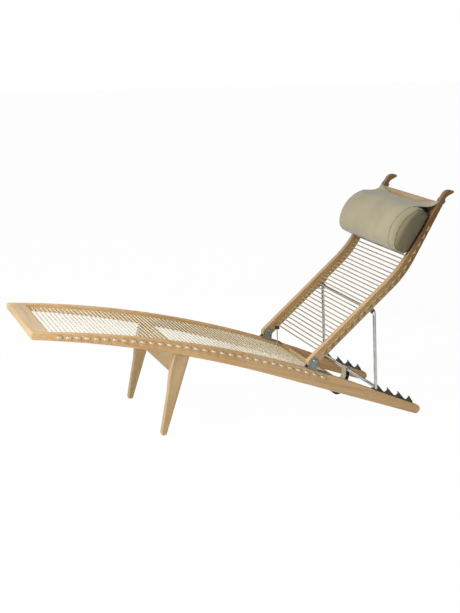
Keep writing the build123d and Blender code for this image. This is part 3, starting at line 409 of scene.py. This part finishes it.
# Shares of the length, and how far the rope sways there.
TAIL_ROUTE = ((0, 0), (0.2, 0), (0.45, 0.8 * MM), (0.7, 1.6 * MM), (1.0, 0.6 * MM))
tail_top = Vector((clamp_middle.x, clamp_middle.y, clamp_low.z))
tail_points = [tail_top + Vector((sway, 0, -TAIL_LENGTH * share)) for share, sway in TAIL_ROUTE]
tail_rope = laid_rope("laid_rope_tail", "#D0C3A6", "#C8BA9B", "#B3A484")
tail = rope_curve("rope_tail", tail_points, TAIL_RADIUS, tail_rope)
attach(tail, "back")
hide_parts("lacing_tail")

# Prop
# A closed rectangle of round steel whose upper rod turns in two saddles screwed on the back rails.
# The steel is bent and polished, and the saddles are bead blasted like the hinges.

# Polished steel mirrors the pale room and the black cards, and is brighter than the blasted parts.
give(worked_metal("polished_steel_prop", "#C2C4C0", "#A6A8A4", 0.1, grit=1.2 * MM, relief_depth=0.01 * MM),
     "prop_loop")
give(blasted_steel, "saddle_left", "saddle_right")
give(plated_steel, "saddle_screws")

# Pull strap
# A band of cotton webbing, sewn into a loop round the prop's lower rod, with its inner face painted black as
# painted shade.
# It hangs from the rod in a narrow neck and opens below into a loop for the hand.
PROP_RADIUS = 6.0
ROD_RADIUS = 6.45
ROD_TURNS = (-10, 35, 90, 145, 190)
# The strap's inner face below the rod, in millimetres from the rod's centre: towards the head, and up.
HAND_LOOP = [(-6.4, -14.0), (-8.5, -30.0), (-20.0, -45.0), (-46.0, -51.0), (-63.0, -62.0), (-65.0, -80.0),
             (-52.0, -93.0), (-36.0, -94.0), (-21.0, -85.0), (-11.0, -66.0), (-2.0, -45.0), (3.5, -28.0),
             (6.2, -12.0)]
ROUTE_STEPS = 6
STRAP_WIDTH = 47.0
STRAP_THICKNESS = 2.4
STRAP_RIB = 3 * MM
WEBBING_THREAD = 1.0 * MM


def mesh_piece(name, points, faces, *materials):
    """A smooth-shaded mesh piece from its points and faces."""
    mesh = bpy.data.meshes.new(name)
    mesh.from_pydata([tuple(p) for p in points], [], faces)
    work = bmesh.new()
    work.from_mesh(mesh)
    bmesh.ops.recalc_face_normals(work, faces=work.faces)
    work.to_mesh(mesh)
    work.free()
    for material in materials:
        mesh.materials.append(material)
    mesh.shade_smooth()
    piece = bpy.data.objects.new(name, mesh)
    bpy.context.scene.collection.objects.link(piece)
    return piece


def band(name, outline, place, width, thickness, outer, inner, steps=8):
    """A closed band of webbing from the outline of its inner face, which place turns to points."""
    count = len(outline)
    points, faces, inside = [], [], []
    rows = [(i / steps - 0.5) * width for i in range(steps + 1)]
    for number, (a, b) in enumerate(outline):
        before, after = outline[number - 1], outline[(number + 1) % count]
        way = Vector((after[0] - before[0], after[1] - before[1])).normalized()
        for layer in (0, 1):
            for row in rows:
                edge = min(1.0, (width / 2 - abs(row)) / (0.8 * thickness))
                swell = thickness * (0.5 + (layer - 0.5) * (0.55 + 0.45 * edge))
                points.append(place(a + way.y * swell, b - way.x * swell, row))
    ring = 2 * (steps + 1)
    lift = steps + 1
    for number in range(count):
        here, there = number * ring, (number + 1) % count * ring
        for i in range(steps):
            faces.append((here + i, there + i, there + i + 1, here + i + 1))
            inside.append(1)
            faces.append((here + lift + i, here + lift + i + 1, there + lift + i + 1, there + lift + i))
            inside.append(0)
        for i, flip in ((0, False), (steps, True)):
            quad = (here + i, here + i + lift, there + i + lift, there + i)
            faces.append(quad[::-1] if flip else quad)
            inside.append(0)
    piece = mesh_piece(name, points, faces, outer, inner)
    for polygon, on_inner_face in zip(piece.data.polygons, inside):
        polygon.material_index = on_inner_face
    return piece


def woven_webbing(name, light, dark, rib):
    """Woven webbing: ribs a few threads wide along the band, dull, with threads drawn twice as coarse."""
    material, tree, shader, place = finish_surface(name, Roughness=0.8, Sheen_Weight=0.2)
    ribs = add(tree, "TexWave", {"Vector": place, "Scale": math.tau / (TEXTURE_WAVE * rib),
                                 "Distortion": 0.3, "Detail": 1.0}, bands_direction="Y").outputs["Fac"]
    threads = add(tree, "TexNoise", {"Vector": place, "Scale": 1 / WEBBING_THREAD,
                                     "Detail": 3.0}).outputs["Fac"]
    ribbed = add(tree, "ValToRGB", {"Fac": ribs}, tones=((0.1, dark), (0.6, light)))
    woven = add(tree, "ValToRGB", {"Fac": threads}, tones=((0.35, dark), (0.6, light)))
    colour = add(tree, "MixRGB", {"Fac": 0.5, "Color1": ribbed.outputs["Color"],
                                  "Color2": woven.outputs["Color"]})
    tree.links.new(colour.outputs["Color"], shader.inputs["Base Color"])
    relief = add(tree, "Bump", {"Height": ribs, "Strength": 0.4, "Distance": 0.4 * MM}).outputs["Normal"]
    tree.links.new(relief, shader.inputs["Normal"])
    return material


def strap_outline():
    """Inner face of the strap: over the rod, down in a narrow neck, then round an open hand loop."""
    route = [(ROD_RADIUS * math.cos(math.radians(a)), ROD_RADIUS * math.sin(math.radians(a)))
             for a in ROD_TURNS] + HAND_LOOP
    outline = []
    for number, b in enumerate(route):
        a, c, d = (route[(number + step) % len(route)] for step in (-1, 1, 2))
        for t in (i / ROUTE_STEPS for i in range(ROUTE_STEPS)):
            outline.append(tuple(
                middle + 0.5 * ((b[k] * 2) + (c[k] - a[k]) * t
                                + (2 * a[k] - 5 * b[k] + 4 * c[k] - d[k]) * t ** 2
                                + (3 * b[k] - a[k] - 3 * c[k] + d[k]) * t ** 3)
                for k, middle in enumerate(rod_at)))
    return outline


strap_low, strap_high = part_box("pull_strap")
strap_middle = (strap_low.y + strap_high.y) / 2
prop_low, prop_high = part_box("prop_loop")
rod_at = (prop_high.x / MM - PROP_RADIUS, prop_low.z / MM + PROP_RADIUS)
strap_cloth = woven_webbing("woven_cotton_webbing", "#B9AE8E", "#978B6B", STRAP_RIB)
# Painted shade: the strap's inner face is coloured nearly black.
strap_inner_shade = woven_webbing("woven_webbing_inner_painted_shade", "#22231F", "#151613", STRAP_RIB)
strap = band("hand_strap", strap_outline(),
             lambda a, b, row: Vector((a * MM, strap_middle + row * MM, b * MM)),
             STRAP_WIDTH, STRAP_THICKNESS, strap_cloth, strap_inner_shade)
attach(strap, "prop")
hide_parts("pull_strap")

# Bolster
# A stuffed pillow in a cover of brushed cotton canvas, with two end panels, which rests on the upper back.
# The cover is cut to the section below, sewn, and filled until it swells between its seams.

# Its sizes are in millimetres along the upper back and in front of it, from a point by the rails' bend.
BACK_LEAN = math.radians(42.05)
HEAD_LEAN = math.radians(57.4)
HEAD_ALONG = 560.7 * MM
HEAD_FRONT = 43.8 * MM
PILLOW_HALF = 284.0
END_SEAM = 280.0
BODY_SEAM = 254.0
PILLOW_BOTTOM = -52.0
PILLOW_TOP = 131.0
PILLOW_REAR = 3.3
PILLOW_DEPTH = 107.0
SEAM_DEPTH = 103.0
END_DEPTH = 83.0
ARC_STEPS = 14
FLAT_STEPS = 16
CANVAS_THREAD = 1.5 * MM
NAP_GRAIN = 2.2 * MM
CLOTH_TONE = 111 * MM
# The section's arcs, each through three places given as shares of its height and depth, and its flat back.
SECTION = [
    ((0.895, 0), (0.965, 0.05), (0.99, 0.2)),
    ((0.99, 0.2), (1, 0.42), (0.95, 0.67)),
    ((0.95, 0.67), (0.55, 1), (0.13, 0.86)),
    ((0.13, 0.86), (0, 0.58), (0.01, 0.30)),
    ((0.01, 0.30), (0.03, 0.08), (0.10, 0)),
]
# The near half's stations: share of the half width, depth, and how far the section draws in all round.
STATIONS = [
    (0.0, PILLOW_DEPTH, 2.0),
    (0.35, PILLOW_DEPTH - 0.5, 2.0),
    (0.7, SEAM_DEPTH + 1.5, 2.0),
    (BODY_SEAM / PILLOW_HALF, SEAM_DEPTH, 0.0),
    (0.945, (SEAM_DEPTH + END_DEPTH) / 2 + 4, 1.5),
    (END_SEAM / PILLOW_HALF, END_DEPTH + 4, 5.0),
    (1.0, END_DEPTH, 12.0),
]
back_fold = next(j for j in frame["joints"] if j["name"] == "back_fold")
head_at = Vector(back_fold["pos_m"]) \
    + HEAD_ALONG * Vector((math.cos(BACK_LEAN), 0, math.sin(BACK_LEAN))) \
    + HEAD_FRONT * Vector((-math.sin(BACK_LEAN), 0, math.cos(BACK_LEAN)))
head_up = Vector((math.cos(HEAD_LEAN), 0, math.sin(HEAD_LEAN)))
head_out = Vector((-math.sin(HEAD_LEAN), 0, math.cos(HEAD_LEAN)))


def on_head(up, across, out):
    """A point given along the upper back, across the chair and in front of the back, in millimetres."""
    return head_at + head_up * up * MM + Vector((0, across * MM, 0)) + head_out * out * MM


def arc_points(a, b, c, count):
    """Points on the circle through three places, the last left out."""
    (ax, ay), (bx, by), (cx, cy) = a, b, c
    d = 2 * (ax * (by - cy) + bx * (cy - ay) + cx * (ay - by))
    a2, b2, c2 = ax * ax + ay * ay, bx * bx + by * by, cx * cx + cy * cy
    ox = (a2 * (by - cy) + b2 * (cy - ay) + c2 * (ay - by)) / d
    oy = (a2 * (cx - bx) + b2 * (ax - cx) + c2 * (bx - ax)) / d
    start, mid, end = (math.atan2(y - oy, x - ox) for x, y in (a, b, c))
    while mid < start:
        mid += math.tau
    while end < start:
        end += math.tau
    if mid > end:
        start += math.tau
        mid, end = (v if v < start else v - math.tau for v in (mid, end))
    radius = math.hypot(ax - ox, ay - oy)
    return [(ox + radius * math.cos(start + (end - start) * i / count),
             oy + radius * math.sin(start + (end - start) * i / count)) for i in range(count)]


def pillow_size(up_share, out_share, depth, shrink):
    """A place of the section in millimetres, from its shares."""
    height = PILLOW_TOP - PILLOW_BOTTOM
    return (PILLOW_BOTTOM + shrink + (height - 2 * shrink) * up_share,
            PILLOW_REAR + shrink + (depth - 2 * shrink) * out_share)


def pillow_ring(across, depth, shrink):
    """Points round the bolster at one place across the chair."""
    ring = []
    for arc in SECTION:
        ring += arc_points(*[pillow_size(up, out, depth, shrink) for up, out in arc], ARC_STEPS)
    start, end = pillow_size(0.10, 0, depth, shrink), pillow_size(0.895, 0, depth, shrink)
    ring += [(start[0] + (end[0] - start[0]) * i / FLAT_STEPS, start[1]) for i in range(FLAT_STEPS)]
    return [on_head(up, across, out) for up, out in ring]


def brushed_canvas(name, light, dark, deep, warp_along="Y"):
    """Brushed cotton canvas: a close plain weave, dull, with a slight nap and slow changes of tone.

    The real threads are 0.5 mm apart and are drawn three times as coarse, so that the weave shows.
    """
    material, tree, shader, place = finish_surface(name, Roughness=0.9, Sheen_Weight=0.25,
                                                   Sheen_Roughness=0.5)
    rate = math.tau / (TEXTURE_WAVE * CANVAS_THREAD)
    slant = add(tree, "Mapping", {"Vector": place, "Rotation": (0.0, HEAD_LEAN, 0.0)}).outputs["Vector"]
    warp = add(tree, "TexWave", {"Vector": slant, "Scale": rate, "Distortion": 0.4, "Detail": 1.0},
               bands_direction=warp_along).outputs["Fac"]
    weft = add(tree, "TexWave", {"Vector": slant, "Scale": rate, "Distortion": 0.4, "Detail": 1.0},
               bands_direction="X").outputs["Fac"]
    weave = add(tree, "MixRGB", {"Fac": 0.5, "Color1": warp, "Color2": weft}).outputs["Color"]
    cloud = add(tree, "TexNoise", {"Vector": place, "Scale": 1 / CLOTH_TONE, "Detail": 3.0}).outputs["Fac"]
    nap = add(tree, "TexNoise", {"Vector": place, "Scale": 1 / NAP_GRAIN, "Detail": 3.0}).outputs["Fac"]
    ground = add(tree, "ValToRGB", {"Fac": cloud}, tones=((0.3, dark), (0.7, light)))
    threads = add(tree, "ValToRGB", {"Fac": weave}, tones=((0.15, deep), (0.55, "#FFFFFF")))
    woven = add(tree, "MixRGB", {"Fac": 0.5, "Color1": ground.outputs["Color"],
                                 "Color2": threads.outputs["Color"]}, blend_type="MULTIPLY")
    brushed = add(tree, "ValToRGB", {"Fac": nap}, tones=((0.3, "#D8D2C0"), (0.65, "#FFFFFF")))
    napped = add(tree, "MixRGB", {"Fac": 0.35, "Color1": woven.outputs["Color"],
                                  "Color2": brushed.outputs["Color"]}, blend_type="MULTIPLY")
    tree.links.new(napped.outputs["Color"], shader.inputs["Base Color"])
    relief = add(tree, "Bump", {"Height": weave, "Strength": 0.35, "Distance": 0.25 * MM}).outputs["Normal"]
    tree.links.new(relief, shader.inputs["Normal"])
    return material


def baked(piece):
    """The piece's mesh as its modifiers leave it."""
    view = bpy.context.evaluated_depsgraph_get()
    return bpy.data.meshes.new_from_object(piece.evaluated_get(view))


def keep_mesh(piece, mesh):
    """The piece with that mesh and no modifiers."""
    piece.modifiers.clear()
    piece.data = mesh


stations = sorted({(side * share * PILLOW_HALF, depth, shrink)
                   for side in (-1, 1) for share, depth, shrink in STATIONS})
rings = [pillow_ring(*station) for station in stations]
around = len(rings[0])
points = [p for ring in rings for p in ring]
faces = []
for row in range(len(rings) - 1):
    for i in range(around):
        j = (i + 1) % around
        faces.append((row * around + i, row * around + j, (row + 1) * around + j, (row + 1) * around + i))
faces.append(tuple(range(around)))
faces.append(tuple(range((len(rings) - 1) * around, len(rings) * around))[::-1])
canvas = brushed_canvas("brushed_cotton_canvas", "#A29A80", "#958D73", "#CFC8B4")
# Painted shade: the end panels take a darker copy of the canvas.
shaded_end_canvas = brushed_canvas("brushed_cotton_canvas_ends_painted_shade", "#857E63", "#716A52", "#C4BDA6", warp_along="Z")
pillow = mesh_piece("pillow_cover", points, faces, canvas, shaded_end_canvas)

# Filling of the bolster
# Loose fibre that presses the cover out as air would, while the sewn seams hold it.
# The seams sink in and pucker the cloth beside them, and the end panels puff into shallow domes.
COVER_GRID = 5.5 * MM
SEAM_HOLD = 7 * MM
FILLING_STEPS = 20
MOST_SWELL = 9 * MM
# Where a seam lies, how deep it sinks and how wide its groove is.
BODY_SEAM_SINK = (BODY_SEAM * MM, 2.2 * MM, 7 * MM)
END_SEAM_SINK = (END_SEAM * MM, 1.6 * MM, 5 * MM)
PUCKER_DEPTH = 0.9 * MM
PUCKER_REACH = 26 * MM
PUCKERS = 31
PUCKER_STRAY = 5
END_BULGE = 13.0
END_REACH = 85.0
END_CREASE = 0.7
END_CREASES = 19
END_BLEND = 3.0
remesh = pillow.modifiers.new("remesh", "REMESH")
remesh.mode = "VOXEL"
remesh.voxel_size = COVER_GRID
keep_mesh(pillow, baked(pillow))
rest_shape = np.array([v.co for v in pillow.data.vertices])
seams = pillow.vertex_groups.new(name="seams")
for vertex in pillow.data.vertices:
    gap = min(abs(abs(vertex.co.y) - y * MM) for y in (BODY_SEAM, END_SEAM))
    seams.add([vertex.index], max(0.0, 1 - gap / SEAM_HOLD), "REPLACE")
cloth = pillow.modifiers.new("cloth", "CLOTH")
cloth.settings.quality = 6
cloth.settings.mass = 0.3
cloth.settings.tension_stiffness = 12
cloth.settings.compression_stiffness = 12
cloth.settings.bending_stiffness = 0.6
cloth.settings.use_pressure = True
cloth.settings.uniform_pressure_force = 4
cloth.settings.vertex_group_mass = "seams"
cloth.settings.effector_weights.gravity = 0
cloth.collision_settings.use_collision = False
for step in range(1, FILLING_STEPS + 1):
    bpy.context.scene.frame_set(step)
keep_mesh(pillow, baked(pillow))
bpy.context.scene.frame_set(1)

pillow_centre = np.array(on_head((PILLOW_BOTTOM + PILLOW_TOP) / 2, 0, PILLOW_REAR + PILLOW_DEPTH / 2))
axis_up, axis_out = np.array(head_up), np.array(head_out)
shape = np.array([v.co for v in pillow.data.vertices])
moved = shape - rest_shape
far = np.linalg.norm(moved, axis=1)
shape = rest_shape + moved * np.minimum(1, MOST_SWELL / np.maximum(far, 1e-9))[:, None]
local = shape - pillow_centre
up, out = local @ axis_up, local @ axis_out
radial = np.hypot(up, out)
angle = np.arctan2(out, up)
across = np.abs(shape[:, 1])
pull = np.zeros(len(shape))
for seam, depth, reach in (BODY_SEAM_SINK, END_SEAM_SINK):
    near = np.clip(1 - np.abs(across - seam) / reach, 0, 1)
    pull += depth * near ** 2
    wide = np.clip(1 - np.abs(across - seam) / PUCKER_REACH, 0, 1)
    stray = 2 * np.sin(angle * PUCKER_STRAY + seam * 40)
    pull += PUCKER_DEPTH * wide * (1 - near) * np.sin(angle * PUCKERS + stray)
rest_across = np.abs(rest_shape[:, 1])
rim = np.clip(radial / (END_REACH * MM), 0, 1)
crease = END_CREASE * rim ** 2 * np.sin(END_CREASES * angle + 2 * np.sin(4 * angle))
dome = (END_BULGE * (1 - rim ** 2) + crease) * MM
cap = np.clip((rest_across / MM - END_SEAM) / END_BLEND, 0, 1)
shape[:, 1] = np.sign(shape[:, 1]) * (across * (1 - cap) + (rest_across + dome) * cap)
inward = np.stack([up, out], 1) / np.maximum(radial, 1e-6)[:, None]
shape -= (inward[:, :1] * axis_up + inward[:, 1:] * axis_out) * pull[:, None]
rest_plane = np.array(on_head(0, 0, PILLOW_REAR))
behind = (shape - rest_plane) @ axis_out
shape += np.outer(np.maximum(0, -behind), axis_out)
pillow.data.vertices.foreach_set("co", shape.astype(np.float32).ravel())
for polygon in pillow.data.polygons:
    polygon.use_smooth = True
    # The end panels get the darker canvas, as painted shade.
    polygon.material_index = 1 if abs(polygon.center.y) > (END_SEAM - 1) * MM else 0
pillow.data.update()
smooth = pillow.modifiers.new("subdivision", "SUBSURF")
smooth.levels = smooth.render_levels = 1
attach(pillow, "pillow")
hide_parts("bolster")

# Seams of the bolster
# Four rounds of spun thread, one at each end of the body and one round each end panel.
# They are sewn from outside, so a dark thread lies in a groove of the cover.
SEAM_STEPS = 120
THREAD_RADIUS = 0.9 * MM
THREAD_TWIST = 3 * MM
cover = BVHTree.FromPolygons([tuple(p) for p in shape], [tuple(p.vertices) for p in pillow.data.polygons])


def on_cover(turn, across, lift=0.0):
    """A place on the cover at a turn from straight up towards the front, lifted off it in millimetres."""
    centre = Vector(pillow_centre)
    centre.y = across * MM
    way = head_up * math.cos(turn) + head_out * math.sin(turn)
    return cover.ray_cast(centre, way)[0] + way * lift * MM


def sewn_line(name, across, material, radius):
    """A sewn seam: sunk thread that follows the cover all round at one place across."""
    places = [on_cover(step / SEAM_STEPS * math.tau, across) for step in range(SEAM_STEPS)]
    line = bpy.data.curves.new(name, "CURVE")
    line.dimensions = "3D"
    line.bevel_depth = radius
    line.bevel_resolution = 1
    line.resolution_u = 2
    spline = line.splines.new("NURBS")
    spline.points.add(len(places) - 1)
    for point, place in zip(spline.points, places):
        point.co = (*place, 1.0)
    spline.order_u = 3
    spline.use_cyclic_u = True
    line.materials.append(material)
    seam = bpy.data.objects.new(name, line)
    bpy.context.scene.collection.objects.link(seam)
    return seam


def spun_thread(name, light, dark):
    """Spun sewing thread: dull and darker than the cloth that it sinks into."""
    material, tree, shader, place = finish_surface(name, Roughness=0.8)
    twist = add(tree, "TexNoise", {"Vector": place, "Scale": 1 / THREAD_TWIST, "Detail": 2.0}).outputs["Fac"]
    colour = add(tree, "ValToRGB", {"Fac": twist}, tones=((0.35, dark), (0.65, light)))
    tree.links.new(colour.outputs["Color"], shader.inputs["Base Color"])
    return material


thread = spun_thread("spun_olive_thread", "#4A4530", "#332F20")
for label, seam_y in (("body_near", -BODY_SEAM), ("body_far", BODY_SEAM), ("end_near", -END_SEAM),
                      ("end_far", END_SEAM)):
    seam = sewn_line(f"pillow_seam_{label}", seam_y, thread, THREAD_RADIUS)
    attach(seam, "pillow")

# Flap
# A piece of the same canvas that grows out of the bolster's top and widens to its two upper corners.
# The corners are held by the tape loops, so it is stretched, with a hollow upper edge and a few soft folds.
FLAP_HALF = 282.0
FLAP_ROOT = 250.0
FLAP_DIP = 35.0
FLAP_THICKNESS = 1.4
# How far round the cover the flap leaves it, its heights there, and its line beyond, up and out.
FLAP_TURNS = (0.42, 0.22, 0.05)
FLAP_LIFTS = (-1.2, 0.6, 0.9)
FLAP_LINE = [(153.8, 16.5), (171.6, 4.1), (185.2, 4.1)]
FLAP_ACROSS, FLAP_DOWN = 108, 30
FLAP_CURVE_STEPS = 12
FOLD_FREE_SHARE = 0.25
FOLDS = ((0.9, 31, 2.2), (0.6, 13, 4.0))  # height, width and slant of the soft folds
CORNER_FOLD, CORNER_FOLD_FROM, CORNER_FOLD_RUN = 1.6, 190, 80
FOLD_LEAN = 0.4
LOOP_WIDTH = 14.0
hollow_half = FLAP_HALF - LOOP_WIDTH
hollow_radius = (hollow_half ** 2 + FLAP_DIP ** 2) / (2 * FLAP_DIP)
root_share = FLAP_ROOT / FLAP_HALF


def flap_curve(across):
    """Places down the flap at one place across, from the bolster's top to the corner, on a smooth line."""
    line = []
    for turn, lift in zip(FLAP_TURNS, FLAP_LIFTS):
        place = on_cover(turn, across * root_share, lift) - head_at
        line.append(Vector((place.dot(head_up), place.dot(head_out))) / MM)
    line += [Vector(p) for p in FLAP_LINE]
    middles = [line[0]] + [a.lerp(b, 0.5) for a, b in zip(line[1:], line[2:-1])] + [line[-1]]
    places = []
    for p, q, r in zip(middles, line[1:-1], middles[1:]):
        for t in (i / FLAP_CURVE_STEPS for i in range(FLAP_CURVE_STEPS)):
            places.append(p * (1 - t) ** 2 + q * 2 * t * (1 - t) + r * t * t)
    return places + [line[-1]]


def flap_fold(y, share):
    """Height of the flap's folds in millimetres, with more of them near its corners."""
    loose = math.sin(max(0.0, share - FOLD_FREE_SHARE) / (1 - FOLD_FREE_SHARE) * math.pi)
    fold = sum(height * math.sin(y / width + slant * share) for height, width, slant in FOLDS)
    near_corner = max(0.0, (abs(y) - CORNER_FOLD_FROM) / CORNER_FOLD_RUN)
    fold += CORNER_FOLD * near_corner * math.sin(share * 6 + 1)
    return fold * loose


flap_points, flap_faces, flap_lengths = [], [], []
for i in range(FLAP_ACROSS + 1):
    y = (i / FLAP_ACROSS * 2 - 1) * FLAP_HALF
    line = flap_curve(y)
    run = [0.0]
    for before, after in zip(line, line[1:]):
        run.append(run[-1] + (after - before).length)
    flap_lengths.append(run[-1])
    dip = 0.0
    if abs(y) < hollow_half:
        dip = math.sqrt(hollow_radius ** 2 - y * y) - (hollow_radius - FLAP_DIP)
    for j in range(FLAP_DOWN + 1):
        share = j / FLAP_DOWN
        at = (run[-1] - dip) * share
        up_at = np.interp(at, run, [p.x for p in line])
        out_at = np.interp(at, run, [p.y for p in line])
        fold = flap_fold(y, share)
        widen = root_share + (1 - root_share) * at / run[-1]
        flap_points.append(on_head(up_at + FOLD_LEAN * fold, y * widen, out_at + max(0.0, fold)))
for i in range(FLAP_ACROSS):
    for j in range(FLAP_DOWN):
        a = i * (FLAP_DOWN + 1) + j
        flap_faces.append((a, a + 1, a + FLAP_DOWN + 2, a + FLAP_DOWN + 1))
flap = mesh_piece("pillow_flap_cloth", flap_points, flap_faces, canvas)
thick = flap.modifiers.new("thickness", "SOLIDIFY")
thick.thickness = FLAP_THICKNESS * MM
thick.offset = 0
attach(flap, "pillow")
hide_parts("pillow_flap")

# Tape loops
# Two closed loops of cotton tape that hold the flap's corners to the back rails, under the horns.
# Each is sewn shut round its rail. The ribs of the tape are drawn twice as coarse as the real ones.
LOOP_UP = 193
LOOP_MIDDLE = 272.5
LOOP_HALF = 12.8
LOOP_REAR = -16.9
LOOP_FRONT = 2.8
LOOP_CORNER = 2.5
LOOP_CORNER_STEPS = 5
LOOP_THICKNESS = 1.6
TAPE_RIB = 2 * MM
tape = woven_webbing("woven_cotton_tape", "#68624A", "#565039", TAPE_RIB)
loop_outline = []
for corner_y, corner_out, first in ((LOOP_HALF - LOOP_CORNER, LOOP_FRONT - LOOP_CORNER, 0),
                                    (-LOOP_HALF + LOOP_CORNER, LOOP_FRONT - LOOP_CORNER, 1),
                                    (-LOOP_HALF + LOOP_CORNER, LOOP_REAR + LOOP_CORNER, 2),
                                    (LOOP_HALF - LOOP_CORNER, LOOP_REAR + LOOP_CORNER, 3)):
    for i in range(LOOP_CORNER_STEPS + 1):
        turn = math.radians(90) * (first + i / LOOP_CORNER_STEPS)
        loop_outline.append((corner_y + LOOP_CORNER * math.cos(turn),
                             corner_out + LOOP_CORNER * math.sin(turn)))
for label, side in (("left", -1), ("right", 1)):
    loop = band(f"pillow_tape_{label}", loop_outline,
                lambda a, b, row, middle=side * LOOP_MIDDLE: on_head(LOOP_UP + row, middle + a, b),
                LOOP_WIDTH, LOOP_THICKNESS, tape, tape)
    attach(loop, "back")
    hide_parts(f"pillow_loop_{label}")

# Floor
# A wide sheet of white paper under the chair. To the camera, to metal and to glass it is nearly pure white,
# and only a trace of the chair's shadow is left on it.
PAPER_CORNERS = [(-12, -12, 0), (12, -12, 0), (12, 20, 0), (-12, 20, 0)]
PAPER_WHITE_SHARE = 0.975


def seen_directly(tree, camera_share):
    """Share of white for rays from the camera, and full white for those that metal or glass sends on."""
    path = add(tree, "LightPath")
    seen = add(tree, "Math", {0: path.outputs["Is Camera Ray"], 1: camera_share}, operation="MULTIPLY")
    mirrored = add(tree, "Math", {0: path.outputs["Is Glossy Ray"], 1: path.outputs["Is Transmission Ray"]},
                   operation="ADD")
    return add(tree, "Math", {0: seen.outputs["Value"], 1: mirrored.outputs["Value"]}, operation="ADD",
               use_clamp=True).outputs["Value"]


def stage_sheet(name, points, faces, material):
    """A flat sheet that belongs to the studio and not to the chair."""
    mesh = bpy.data.meshes.new(name)
    mesh.from_pydata(points, [], faces)
    mesh.materials.append(material)
    sheet = bpy.data.objects.new(name, mesh)
    bpy.context.scene.collection.objects.link(sheet)
    return sheet


white_paper, tree, shader, _ = finish_surface("white_paper_floor", Base_Color=srgb("#F4F3F1"), Roughness=0.9)
lit = add(tree, "Emission", {"Color": "#FFFFFF", "Strength": 1.0})
both = add(tree, "MixShader", {0: seen_directly(tree, PAPER_WHITE_SHARE), 1: shader.outputs["BSDF"],
                               2: lit.outputs["Emission"]})
tree.links.new(both.outputs["Shader"], tree.nodes["Material Output"].inputs["Surface"])
stage_sheet("studio_floor", PAPER_CORNERS, [(0, 1, 2, 3)], white_paper)

# Black cards
# Three standing cards of black paper outside the picture. They darken what the polished steel mirrors
# and keep light off the chair's head end, and the camera itself doesn't see them.
CARD_HEIGHT = 2.2
# Where the left and the right edge of each card stand.
CARDS = [((1.2, -0.6), (2.2, -2.4)), ((-2.8, 0.9), (-1.3, 2.6)), ((1.5, 0.7), (0.9, 2.6))]
card_points, card_faces = [], []
for number, (left, right) in enumerate(CARDS):
    card_points += [(*left, 0.0), (*right, 0.0), (*right, CARD_HEIGHT), (*left, CARD_HEIGHT)]
    card_faces.append(tuple(4 * number + i for i in range(4)))
black_paper = finish_surface("black_paper_card", Base_Color=srgb("#0C0C0C"), Roughness=0.9)[0]
stage_sheet("black_cards", card_points, card_faces, black_paper).visible_camera = False

# Studio room
# Pale walls all round that light the chair softly, dimmer on the side away from the lamps.
# Where the camera, metal or glass looks past the floor, the room is plain white.
ROOM_STRENGTH = 0.5
DIM_SIDE = (0.8, -0.55, -0.2)
room = bpy.data.worlds.new("studio")
room.use_nodes = True
tree = room.node_tree
walls = tree.nodes["Background"]
walls.inputs["Strength"].default_value = ROOM_STRENGTH
direction = add(tree, "TexCoord").outputs["Generated"]
away = add(tree, "VectorMath", {0: direction, 1: DIM_SIDE}, operation="DOT_PRODUCT").outputs["Value"]
slope = add(tree, "MapRange", {"Value": away, "From Min": -0.3, "From Max": 0.75}).outputs["Result"]
pale = add(tree, "ValToRGB", {"Fac": slope}, tones=((0.0, "#FFFFFF"), (0.55, "#9A9A98"), (0.75, "#3A3A3A")))
tree.links.new(pale.outputs["Color"], walls.inputs["Color"])
white = add(tree, "Background", {"Color": "#FFFFFF", "Strength": 1.0})
both = add(tree, "MixShader", {0: seen_directly(tree, 1.0), 1: walls.outputs["Background"],
                               2: white.outputs["Background"]})
tree.links.new(both.outputs["Shader"], tree.nodes["World Output"].inputs["Surface"])
bpy.context.scene.world = room

# Lamps
# Two square soft boxes on the foot side, outside the picture.
# The high one lights the tops and fronts, and the low one lights the near sides.
# Name, place, aim, width in metres and power in watts.
LAMPS = [
    ("key_light", (-2.7, -0.9, 2.6), (-0.2, 0, 0.4), 1.8, 135),
    ("side_light", (-2.6, -2.6, 1.0), (-0.3, 0, 0.3), 1.6, 36),
]
for name, at, toward, size, power in LAMPS:
    light = bpy.data.lights.new(name, "AREA")
    light.size = size
    light.energy = power
    lamp = bpy.data.objects.new(name, light)
    lamp.location = at
    lamp.rotation_euler = (Vector(toward) - Vector(at)).to_track_quat("-Z", "Y").to_euler()
    bpy.context.scene.collection.objects.link(lamp)

# Camera
# It stands at the near side, left of the foot end, and looks slightly down at the chair.
# Its place is given from the foot end of the seat rails.
CAMERA_LENS = 90.83
CAMERA_SENSOR = 36
CAMERA_FROM_FOOT = -0.80297
CAMERA_Y = -5.48309
CAMERA_HEIGHT = 1.55289
YAW, PITCH, ROLL = 0.2846, 0.1997, -0.0082  # in radians
camera_data = bpy.data.cameras.new("camera")
camera_data.sensor_width = CAMERA_SENSOR
camera_data.lens = CAMERA_LENS
camera_data.clip_end = 100
camera = bpy.data.objects.new("camera", camera_data)
bpy.context.scene.collection.objects.link(camera)
ahead = Vector((math.sin(YAW) * math.cos(PITCH), math.cos(YAW) * math.cos(PITCH), -math.sin(PITCH)))
right = Vector((math.cos(YAW), -math.sin(YAW), 0))
upward = right.cross(ahead)
turned_right = math.cos(ROLL) * right + math.sin(ROLL) * upward
turned_up = -math.sin(ROLL) * right + math.cos(ROLL) * upward
facing = Matrix((turned_right, turned_up, -ahead)).transposed().to_4x4()
facing.translation = Vector((rail_low.x + CAMERA_FROM_FOOT, CAMERA_Y, CAMERA_HEIGHT))
camera.matrix_world = facing
bpy.context.scene.camera = camera
bpy.context.scene.view_settings.view_transform = "Standard"
